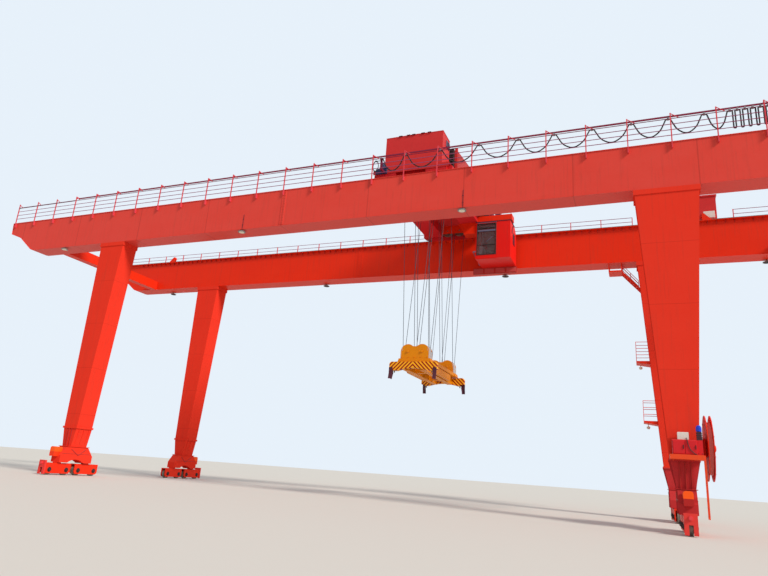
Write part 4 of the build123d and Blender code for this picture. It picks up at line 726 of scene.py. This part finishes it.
def splice(x, half, web, outward):
    """A cover plate over a joint in a web, with two columns of bolts."""
    face = web + outward * 0.012
    plate = block(around(x, half), (web - outward * 0.01, face), SPLICE_Z, 0.003)
    bolt = pin((x - half * 0.6, face, 7.9), "Y", outward * 0.014, 0.011, 6)
    column = row(bolt, 12, (0, 0, 0.0915))
    return joined([plate, row(column, 2, (half * 1.2, 0, 0))])


for name, x, half, side, material in (
    ("near_splice_plates", -1.895, 0.07, -1, girder_paint),
    ("far_splice_plates", -1.66, 0.105, 1, web_paint),
):
    plates = [splice(x, half, side * WEB_Y, side), splice(x, half, side * INNER_WEB_Y, -side)]
    settle(plates, name, material)

# %% [markdown]
# Clips hold each of the trolley's rails down on both sides. One clip is a small block with
# its bolt. The array modifier sets it every half metre, and a mirror modifier makes the
# other rail's. A clip has few faces, because there are hundreds.

# %% Rail clips
TROLLEY_RAIL_Y = 2.36
CLIP_X = -13.245
clips = []
for side in (-1, 1):
    y = TROLLEY_RAIL_Y + side * 0.048
    clips.append(block(around(CLIP_X, 0.025), around(y, 0.02), (9.008, 9.032), 0.006))
    clips.append(pin((CLIP_X, y + side * 0.006, 9.03), "Z", 0.014, 0.009, 6))
clips = row(joined(clips), 54, (0.5, 0, 0))
settle(mirrored([clips], y=True), "rail_clips", dark_steel)

# %% [markdown]
# The floodlights shine down through round lenses. Each lens is a disc with a raised middle.
# The near lenses look pale and the far ones dark, so each side is a piece of its own. Two thin
# conduits are clipped to the near web.

# %% Lenses and conduits of the floodlights
LAMP_X = (-11.05, -3.34, 3.82, 11.83)
LAMP_Y = 2.92
CONDUIT_FOOT = 7.77
lamp_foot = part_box("floodlights")[0].z
for name, side, material in (("near_lenses", -1, lens_glass), ("far_lenses", 1, dark_steel)):
    lenses = []
    for x in LAMP_X:
        lenses.append(pin((x, side * LAMP_Y, lamp_foot - 0.006), "Z", 0.01, 0.09, 24))
        lenses.append(pin((x, side * LAMP_Y, lamp_foot - 0.012), "Z", 0.012, 0.03, 12))
    settle(lenses, name, material)
conduits = []
for lamp_x, top in zip(LAMP_X[1:3], (8.305, 8.325)):
    x = lamp_x + 0.03
    conduits.append(bar((x, -WEB_Y - 0.007, CONDUIT_FOOT), (x, -WEB_Y - 0.007, top), 0.007))
    for z in (7.95, 8.15):
        clip = block(around(x, 0.018), (-WEB_Y - 0.018, -WEB_Y), (z, z + 0.012), 0.002)
        conduits.append(clip)
settle(conduits, "lamp_conduits", dark_paint)

# %% [markdown]
# Power reaches the trolley through a cable that hangs in loops from carriers on a track.
# The loops open and close as the trolley travels. The cable takes the shape of the frame's
# solid.

# %% Festoon cable
FESTOON_FIXED_X = 11.3
FESTOON_TOW_X = 1.2


def merged_copy(node):
    """A copy of a node's mesh, with its loose triangles merged."""
    piece = bpy.data.objects.new(node + "_copy", nodes[node].data.copy())
    bpy.context.scene.collection.objects.link(piece)
    clear(piece)
    return edit(bpy.ops.mesh.remove_doubles, threshold=0.00005)


cable = merged_copy("festoon_cable")
finished(cable, "festoon_loops", cable_rubber)
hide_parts("festoon_cable")
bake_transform(cable)
print("festoon faces:", len(cable.data.polygons))

# %% [markdown]
# A carrier must not stretch, so each one is a piece of its own. Its share of the way is worked
# out from its place on the track.

# %% Festoon carriers
SAME_CARRIER = 0.06
merged_copy("festoon_carriers")
edit(bpy.ops.mesh.separate, type="LOOSE")
solids = bpy.context.selected_objects
groups = []
for solid in sorted(solids, key=lambda piece: min(v.co.x for v in piece.data.vertices)):
    middle = sum((v.co for v in solid.data.vertices), Vector()) / len(solid.data.vertices)
    if groups and abs(groups[-1][0].x - middle.x) < SAME_CARRIER:
        groups[-1][1].append(solid)
    else:
        groups.append((middle, [solid]))
for i, (middle, members) in enumerate(groups):
    carrier = finished(joined(members), f"festoon_carrier_{i + 1}", galvanised)
    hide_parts("festoon_carriers")
    share = (FESTOON_FIXED_X - middle.x) / (FESTOON_FIXED_X - FESTOON_TOW_X)
    share = min(max(share, 0), 1)
    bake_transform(carrier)
print("carriers:", len(groups))

# %% [markdown]
# The hoist ropes run from the sheaves on the trolley down to the sheaves on the head block.
# Their lower ends move with the spreader.

# %% Hoist ropes
ropes = merged_copy("hoist_ropes")
finished(ropes, "hoist_rope_falls", rope_steel)
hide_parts("hoist_ropes")
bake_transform(ropes)
print("rope faces:", len(ropes.data.polygons))

# %% [markdown]
# The machinery room is a plain sheet-metal box, with five low vents along the near edge of
# its roof. On the sides that the photograph doesn't show, it gets what such a room has: a
# door, a louvre, and a drip rail along the foot of its walls. Below the trolley a skirt plate
# inside each rail keeps grease from dripping.

# %% Machinery room
low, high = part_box("machinery_room")


def louvre(along, face, z, slats, outward=1, faces_x=False):
    """A framed louvre on an upright wall that faces along Y, or along X."""
    border = [along, (face, face + outward * 0.03)]
    slat = [(along[0] + 0.02, along[1] - 0.02), (face + outward * 0.028, face + outward * 0.045)]
    if faces_x:
        border.reverse()
        slat.reverse()
    slat = block(*slat, (z[0] + 0.02, z[0] + 0.034))
    step = (z[1] - z[0] - 0.054) / (slats - 1)
    return joined([block(*border, z, 0.006), row(slat, slats, (0, 0, step))])


def door(wall, y, z):
    """A flush door in a wall that faces -X: leaf, window, handle and two hinges."""
    face = wall - 0.02
    handle_y = y[0] + 0.05
    parts = [
        block((face, wall + 0.005), y, z, 0.006),
        block((face - 0.01, face + 0.002), (y[0] + 0.1, y[1] - 0.1), (z[1] - 0.35, z[1] - 0.12)),
        pin((face - 0.03, handle_y, z[0] + 0.45), "Z", 0.15, 0.009),
        block((face - 0.035, face + 0.002), around(handle_y, 0.01), around(z[0] + 0.52, 0.01)),
    ]
    for hinge_z in (z[0] + 0.12, z[1] - 0.22):
        parts.append(pin((face - 0.006, y[1] + 0.005, hinge_z), "Z", 0.09, 0.012))
    return joined(parts)


vent_y = (low.y - 0.034, low.y + 0.002)
vent_z = (high.z - 0.022, high.z - 0.001)
vents = [block(around(x, 0.06), vent_y, vent_z, 0.006) for x in (1.435, 1.70, 1.87, 2.18, 2.39)]
settle(vents, "room_vents", dark_paint, "trolley")
skirt = block((1.25, 3.05), (2.19, 2.202), (8.99, 9.14), 0.003)
bolts = row(pin((1.35, 2.19, 9.11), "Y", -0.008, 0.01, 6), 9, (0.2, 0, 0))
skirts = mirrored([skirt, bolts], y=True)
settle(skirts, "trolley_skirts", crimson_paint, "trolley")
wall_x = (low.x - 0.002, high.x + 0.002)
drips = [
    block(wall_x, (low.y - 0.004, low.y + 0.02), (9.46, 9.49)),
    block(wall_x, (high.y - 0.02, high.y + 0.004), (9.46, 9.49)),
    door(low.x + 0.008, (-1.62, -1.2), (9.47, 10.42)),
]
settle(drips, "room_door_and_rails", room_paint, "trolley")
end_louvre = louvre((-1.52, -1.22), high.x - 0.008, (10.62, 10.83), 5, faces_x=True)
settle(end_louvre, "room_end_louvre", blue_grey, "trolley")
room_louvre = louvre((1.3, 1.9), high.y - 0.008, (10.3, 10.8), 8)

# %% [markdown]
# The rain hood's visible corner has a tall dark louvre, a post, and a sloping panel with level
# ribs. The panel is a block whose upper corner is cut off with bisect, along the hood's slope.

# %% Winch hood
low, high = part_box("winch_hood")
RIB_ENDS = (3.41, 3.41, 3.41, 3.41, 3.36, 3.25, 3.15)
hood_y = low.y
roof_z = high.z - 0.004
louvres = [
    room_louvre,
    louvre((2.68, 2.865), hood_y, (9.9, 10.985), 15, outward=-1),
    louvre((1.9, 2.7), high.y, (9.8, 10.4), 9),
]
settle(louvres, "room_louvres", dark_steel, "trolley")

slope_foot = Vector((high.x - 0.01, hood_y, low.z + 0.73))
slope_head = Vector((high.x - 0.485, hood_y, high.z - 0.01))
across = Vector((slope_head.z - slope_foot.z, 0, slope_foot.x - slope_head.x))
block((2.99, slope_foot.x), (hood_y - 0.012, hood_y + 0.004), (9.46, slope_head.z), 0.003)
panel = [
    edit(bpy.ops.mesh.bisect, plane_co=slope_foot, plane_no=across, clear_outer=True, use_fill=True)
]
for i, end in enumerate(RIB_ENDS):
    z = 9.62 + i * 0.16
    panel.append(block((2.99, end), (hood_y - 0.02, hood_y), (z, z + 0.018)))
settle(panel, "hood_panel", hood_paint, "trolley")
seams = [block((2.885, 2.985), (hood_y - 0.03, hood_y + 0.004), (9.444, 10.985), 0.006)]
for x, y in ((1.8, -0.3), (1.8, 0.6), (2.8, -0.3), (2.8, 0.6)):
    seams.append(block((x, x + 0.02), (y, y + 0.12), (roof_z, roof_z + 0.039), 0.006))
for x in (1.95, 2.4, 2.75):
    seams.append(block((x, x + 0.02), (hood_y, high.y), (roof_z, roof_z + 0.012), 0.002))
settle(seams, "hood_post_and_seams", room_paint, "trolley")

# %% [markdown]
# At the deck's near left corner stands a dark blue drive on a wide foot, and beside it a
# short loop of the festoon cable hangs from the tow arm. The drive's body is a cone. The loop
# is a torus, drawn out to an upright oval.

# %% Corner drive and spare loop
DECK_Z = 9.444
DRIVE_PLACE = (1.215, -2.55)
LOOP_PLACE = (1.13, -2.905)
clear()
bpy.ops.mesh.primitive_cone_add(
    vertices=20, radius1=0.13, radius2=0.05, depth=0.17, location=(*DRIVE_PLACE, DECK_Z + 0.12)
)
bpy.ops.object.transform_apply()
drive = [
    bpy.context.object,
    block((1.03, 1.40), (-2.672, -2.42), (DECK_Z - 0.002, DECK_Z + 0.04), 0.01),
    block((1.03, 1.40), (-2.672, -2.635), (DECK_Z - 0.15, DECK_Z + 0.03), 0.01),
    pin((*DRIVE_PLACE, DECK_Z + 0.2), "Z", 0.055, 0.045, 16),
    block((1.29, 1.38), (-2.64, -2.50), (DECK_Z + 0.03, DECK_Z + 0.11), 0.012),
]
settle(drive, "corner_drive", dark_blue, "trolley")

arm_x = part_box("tow_arm")[0].x
clear()
bpy.ops.mesh.primitive_torus_add(
    major_radius=0.085, minor_radius=0.011, major_segments=32, minor_segments=8,
    location=(*LOOP_PLACE, 9.44), rotation=(pi / 2, 0, 0),
)
bpy.context.object.scale = (1, 1.95, 1)
bpy.ops.object.transform_apply()
loop = [
    bpy.context.object,
    bar((*LOOP_PLACE, 9.605), (arm_x + 0.02, LOOP_PLACE[1], 9.605), 0.009),
    block((1.115, 1.145), (-2.93, -2.88), (9.585, 9.625), 0.006),
]
settle(loop, "spare_cable_loop", cable_rubber, "trolley")

# %% [markdown]
# A slanted stay runs from the top of each near post down onto the top rail, and makes a
# small open triangle with them. Left of the festoon track a stouter bar tops the railing.

# %% Stays on the near posts
low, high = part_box("near_railing")
stay_y = low.y + 0.013
stay = bar((POST_START_X, stay_y, high.z - 0.012), (-13.74, stay_y, high.z - 0.152), 0.012, 6)
settle(row(stay, 28, (1.0, 0, 0)), "post_stays", railing_paint)
top_x = (POST_START_X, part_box("festoon_track")[0].x)
top_bar = block(top_x, around(stay_y, 0.016), around(high.z - 0.154, 0.016), 0.008)
settle(top_bar, "left_top_bar", top_bar_paint)

# %% [markdown]
# The operator looks down through a tall window, with the roller for its blind at the top.
# Behind the glass is the seat, with a console on each side. The seat's pads are blocks with a
# wide bevel, and a subdivision surface rounds them.

# %% Cab window and seat
low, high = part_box("cab_shell")
WINDOW_X = (3.225, 3.86)
WINDOW_Z = (7.93, 9.03)
CAB_FLOOR_Z = 7.826
cab_y = low.y
edge_y = around(cab_y, 0.01)
bars = [block(WINDOW_X, (cab_y - 0.012, cab_y + 0.02), (z, z + 0.022)) for z in (8.875, 8.265)]
for x in WINDOW_X:
    bars.append(block(around(x, 0.014), edge_y, (WINDOW_Z[0] - 0.014, WINDOW_Z[1] + 0.014)))
for z in WINDOW_Z:
    bars.append(block(WINDOW_X, edge_y, around(z, 0.014)))
settle(bars, "window_bars", dark_steel, "trolley")
blind = [
    block((3.24, 3.845), (cab_y - 0.014, cab_y + 0.004), (8.755, 8.815), 0.01),
    bar((3.55, cab_y - 0.02, 8.38), (3.755, cab_y - 0.02, 8.565), 0.008),
    bar((3.24, cab_y - 0.03, 9.06), (3.89, cab_y - 0.03, 9.06), 0.01),
    bar((3.10, cab_y, 8.05), (3.165, cab_y + 0.70, 7.80), 0.012),
    block((3.085, 3.19), (cab_y - 0.01, cab_y + 0.015), (8.03, 8.07)),
]
for x in (3.26, 3.56, 3.86):
    blind.append(block((x, x + 0.012), (cab_y - 0.035, cab_y + 0.004), (9.05, 9.07)))
settle(blind, "window_blind_and_rails", blue_grey, "trolley")
plate = block((3.21, 3.88), (cab_y + 0.02, 1.56), (low.z - 0.012, low.z + 0.004))
settle(plate, "cab_floor_plate", cab_paint, "trolley")
cushion = block((3.42, 3.80), (1.38, 1.74), (8.16, 8.26), 0.035)
back = block((3.43, 3.79), (1.66, 1.76), (8.24, 8.74), 0.035)
seat = [applied(pad, "SUBSURF", levels=2, render_levels=2) for pad in (cushion, back)]
seat.append(bar((3.61, 1.56, CAB_FLOOR_Z), (3.61, 1.56, 8.17), 0.05, 12))
settle(seat, "cab_seat", seat_leather, "trolley")
consoles = []
for sides in ((3.25, 3.38), (3.86, 4.02)):
    x = sum(sides) / 2
    consoles.append(block(sides, (1.3, 1.7), (CAB_FLOOR_Z, 8.32), 0.02))
    consoles.append(bar((x, 1.38, 8.32), (x, 1.36, 8.44), 0.01))
    consoles.append(bar((x, 1.36, 8.43), (x, 1.357, 8.47), 0.02, 10))
settle(consoles, "cab_consoles", grey_paint, "trolley")

# %% [markdown]
# A dark drip edge runs along the cab's near eaves and over its round roof. The curved part is
# a short profile that the spin tool turns about the roof's axis. Then its doubles are merged,
# and its normals face outwards again.

# %% Drip edge and side window of the cab
ROOF_R = 0.38
arc_y = high.y - ROOF_R
arc_z = high.z - ROOF_R
eaves = []
for x in (low.x, high.x):
    clear()
    bpy.ops.mesh.primitive_plane_add(
        size=1, location=(x, arc_y, high.z + 0.002), rotation=(pi / 2, 0, 0)
    )
    bpy.context.object.scale = (0.034, 0.024, 1)
    bpy.ops.object.transform_apply()
    edit(bpy.ops.mesh.spin, steps=14, angle=-pi / 2, center=(x, arc_y, arc_z), axis=(1, 0, 0))
    edit(bpy.ops.mesh.remove_doubles, threshold=0.0001)
    eaves.append(edit(bpy.ops.mesh.normals_make_consistent, inside=False))
    eaves.append(block(around(x, 0.017), (cab_y, arc_y), (high.z - 0.01, high.z + 0.014)))
eaves += [
    block(
        (low.x - 0.017, high.x + 0.017), (cab_y - 0.014, cab_y + 0.01),
        (high.z - 0.012, high.z + 0.014),
    ),
    block((high.x - 0.004, high.x + 0.012), (1.53, 1.80), (8.40, 8.80), 0.01),
    block((low.x, high.x), (high.y - 0.004, high.y + 0.012), (8.42, 8.46)),
]
settle(eaves, "cab_drip_edge", dark_paint, "trolley")

# %% [markdown]
# Beside the cab hangs a red case whose lower left corner is cut away. Bisect cuts a block
# along a slanted plane and fills the cut. A flange closes it at the top, and a lip at the foot.

# %% Case beside the cab
low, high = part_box("cab_hanger")
slab_y = low.y
slab_z = high.z
block((2.58, 3.17), (slab_y + 0.01, 1.5), (8.76, 9.13))
cut = {"plane_co": (2.58, slab_y, 9.08), "plane_no": (-0.32, 0, -0.16)}
case = [
    edit(bpy.ops.mesh.bisect, **cut, clear_outer=True, use_fill=True),
    block((2.56, 3.19), (slab_y, 1.5), (9.085, 9.13)),
    block((2.74, 3.165), (slab_y - 0.01, 1.5), (8.725, 8.765)),
]
settle(case, "cab_side_case", plain_red, "trolley")

# %% [markdown]
# On the slab over the cab stand a cooling unit and four pale guard posts, and the equipment
# case under the cab has four lighter covers.

# %% Cooling unit, posts and case covers
unit = [
    block((3.42, 3.72), (1.2, 1.4), (slab_z, slab_z + 0.16), 0.012),
    louvre((3.44, 3.70), 1.2, (slab_z + 0.02, slab_z + 0.14), 5, outward=-1),
    block((3.80, 3.98), (1.18, 1.32), (slab_z, slab_z + 0.09), 0.01),
]
settle(unit, "cab_cooling_unit", dark_blue, "trolley")
posts = [pin((x, 1.16, slab_z - 0.002), "Z", 0.202, 0.01) for x in (3.29, 3.62, 4.02, 4.34)]
posts.append(pin((3.29, 1.16, slab_z + 0.19), "X", 1.05, 0.01))
settle(posts, "slab_guard_rail", railing_paint, "trolley")
low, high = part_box("cab_base")
span = (high.x - low.x) / 4
cover = block(
    (low.x + 0.03, low.x + span - 0.03), (low.y - 0.01, low.y + 0.004),
    (low.z + 0.03, high.z - 0.03), 0.006,
)
settle(row(cover, 4, (span, 0, 0)), "case_covers", cover_paint, "trolley")

# %% [markdown]
# Each pair of rope sheaves on the head block is closed at its ends by a bent cover plate, and
# nuts hold the sheave pins. Between the beams sits the hydraulic unit that turns the locks.

# %% Head block covers, nuts and hydraulic unit
MID_X = 2.135
SHEAVE_X = 0.215
CHEEK_Y = 1.25
SHEAVE_Z = 4.165
CHEEK_END = SHEAVE_X + 0.218
ends = []
nuts = []
for side in (-1, 1):
    for inset, z in ((0.008, (3.962, 4.19)), (0.04, (4.185, 4.30))):
        x = MID_X + side * (CHEEK_END - inset)
        ends.append(block(around(x, 0.008), around(CHEEK_Y, 0.152), z))
    x = MID_X + side * SHEAVE_X
    for out in (1, -1):
        nuts.append(pin((x, CHEEK_Y + out * 0.158, SHEAVE_Z), "Y", out * 0.027, 0.036))
for offset in (-0.38, -0.19, 0, 0.19, 0.38):
    nuts.append(pin((MID_X + offset, CHEEK_Y + 0.155, 4.0), "Y", 0.017, 0.014, 6))
settle(mirrored(ends, y=True), "sheave_end_covers", grey_paint, "spreader")
settle(mirrored(nuts, y=True), "sheave_nuts", orange_paint, "spreader")
unit = [
    block(around(MID_X, 0.2), (-0.36, 0.36), (3.85, 4.02), 0.02),
    pin((MID_X, -0.3, 4.06), "Y", 0.35, 0.055, 14),
    block(around(MID_X, 0.12), (0.12, 0.32), (4.02, 4.1), 0.015),
]
for side in (1, -1):
    x = MID_X + side * 0.1
    unit.append(bar((x, -side * 0.36, 3.93), (x, -side, 3.86), 0.012))
settle(unit, "hydraulic_unit", grey_paint, "spreader")

# %% [markdown]
# On the near leg's platform stand the cabinets for the cable reel. Their doors and handles
# are thin blocks. A hose, clipped to the doors, curves from the grey box down to the
# platform's edge. It is held all the way, so short straight bars make its curve.

# %% Cabinet doors and conduit
low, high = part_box("control_cabinets")
front = low.y
half = (high.x - low.x) / 2
leaf = block(
    (low.x + 0.012, low.x + half - 0.006), (front - 0.012, front + 0.004),
    (low.z + 0.02, high.z - 0.03),
)
settle(row(leaf, 2, (half, 0, 0)), "cabinet_doors", crimson_paint)
fittings = []
for x in (8.845, 9.075):
    fittings.append(block((x, x + 0.014), (front - 0.03, front - 0.01), (1.68, 1.76), 0.003))
low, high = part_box("junction_box")
HOSE = (
    (-0.05, low.y - 0.001, 1.91), (-0.045, front - 0.02, 1.86), (-0.03, front - 0.024, 1.76),
    (0.01, front - 0.024, 1.66), (0.08, front - 0.024, 1.59), (0.15, front - 0.02, 1.555),
)
hose = [(high.x + x, y, z) for x, y, z in HOSE]
fittings += [bar(a, b, 0.008) for a, b in zip(hose, hose[1:])]
low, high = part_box("motor_stand")
for x in (low.x + 0.02, high.x - 0.02):
    fittings.append(pin((x, low.y - 0.004, 1.6), "Y", 0.014, 0.01, 6))
settle(fittings, "cabinet_handles", dark_steel)
low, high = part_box("motor_gear")
rib = block(
    (low.x - 0.006, high.x + 0.006), (low.y - 0.006, high.y + 0.006),
    (low.z, low.z + 0.02),
)
settle(row(rib, 4, (0, 0, 0.045)), "gear_ribs", dark_steel)
low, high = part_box("reel_motor")
motor_x, motor_y = ((low + high) / 2)[:2]
fin = pin((motor_x, motor_y, low.z + 0.01), "Z", 0.008, 0.058, 20)
lid = pin((motor_x, motor_y, high.z - 0.003), "Z", 0.013, 0.03, 12)
settle([row(fin, 4, (0, 0, 0.02)), lid], "motor_fins", blue_paint)

# %% [markdown]
# The cable reel's hub is bolted through both discs, and clamps join the rims in ten places.
# The slip rings' round case sits on the fixed shaft, so it stays still when the reel turns.

# %% Reel hub, rim clamps and slip ring case
REEL_X = 9.4
REEL_YZ = (-2.3, 1.775)
REEL_SIDE = 0.059
bolts = []
for side in (-1, 1):
    x = REEL_X + side * REEL_SIDE
    bolts += bolt_circle(x, REEL_YZ, 0.17, 10, side * 0.008, 0.013)
    bolts += bolt_circle(x, REEL_YZ, 0.67, 10, side * 0.008, 0.022, 8, first=0.5)
settle(bolts, "reel_bolts", dark_steel, "reel")
case = [pin((9.495, *REEL_YZ), "X", 0.04, 0.078, 20), pin((9.535, *REEL_YZ), "X", 0.008, 0.05, 14)]
settle(case, "slip_ring_case", plain_red)

# %% [markdown]
# Between the spokes each disc of the reel is closed by a thin red ring plate. Two circles of
# edges are bridged to a flat ring, and a solidify modifier gives the thickness.

# %% Ring plates of the reel
plates = []
for side in (-1, 1):
    circles = []
    for radius in (0.215, 0.64):
        clear()
        bpy.ops.mesh.primitive_circle_add(
            vertices=64, radius=radius, location=(REEL_X + side * 0.052, *REEL_YZ),
            rotation=(0, pi / 2, 0),
        )
        circles.append(bpy.context.object)
    joined(circles)
    bpy.ops.object.transform_apply()
    ring = edit(bpy.ops.mesh.bridge_edge_loops)
    plates.append(applied(ring, "SOLIDIFY", thickness=0.006, offset=0))
settle(plates, "reel_ring_plates", plain_red, "reel")

# %% [markdown]
# A lamp hangs under each landing of the far leg, and pale handrails follow the short stair
# from the hung landing. The handrail is two bars on each side, carried by small posts.

# %% Landing lamps and stair rails
lamps = []
for x, z in ((8.11, 4.535), (8.24, 2.735)):
    lamps.append(pin((x, LEG_Y, z + 0.01), "Z", -0.11, 0.012))
    lamps.append(pin((x, LEG_Y, z - 0.09), "Z", -0.06, 0.05, 14))
    lamps.append(pin((x, LEG_Y, z - 0.15), "Z", -0.015, 0.036, 14))
settle(lamps, "landing_lamps", lens_glass)
low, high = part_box("leg_stair")
stair_head = Vector((low.x, 0, 7.56))
stair_foot = Vector((high.x - 0.03, 0, 6.96))
posts = [stair_head.lerp(stair_foot, share) for share in (0.04, 0.5, 0.96)]
rails = []
for y in (low.y + 0.011, high.y - 0.011):
    for post in posts:
        rails.append(pin((post.x, y, post.z - 0.04), "Z", 0.26, 0.01))
    for height in (0.12, 0.22):
        start, end = [(post.x, y, post.z + height) for post in (posts[0], posts[-1])]
        rails.append(bar(start, end, 0.01))
settle(rails, "stair_rails", railing_paint)

# %% [markdown]
# The electric house hangs between the girders. It has a door at its end, two louvres on its
# far side, and a seam along its roof, as such houses have.

# %% Electric house
low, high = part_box("electric_house")
middle_y = (low.y + high.y) / 2
door_z = (low.z + 0.06, low.z + 1.2)
seam_z = (high.z - 0.01, high.z + 0.015)
details = [
    door(low.x + 0.03, (middle_y - 0.25, middle_y + 0.15), door_z),
    block((low.x + 0.3, high.x - 0.3), around(middle_y, 0.01), seam_z),
]
settle(details, "house_door", room_paint)
far_wall = high.y - 0.042
vents = [louvre((x, x + 0.4), far_wall, (9.6, 10.0), 7) for x in (8.95, 9.9)]
settle(vents, "house_louvres", dark_steel)
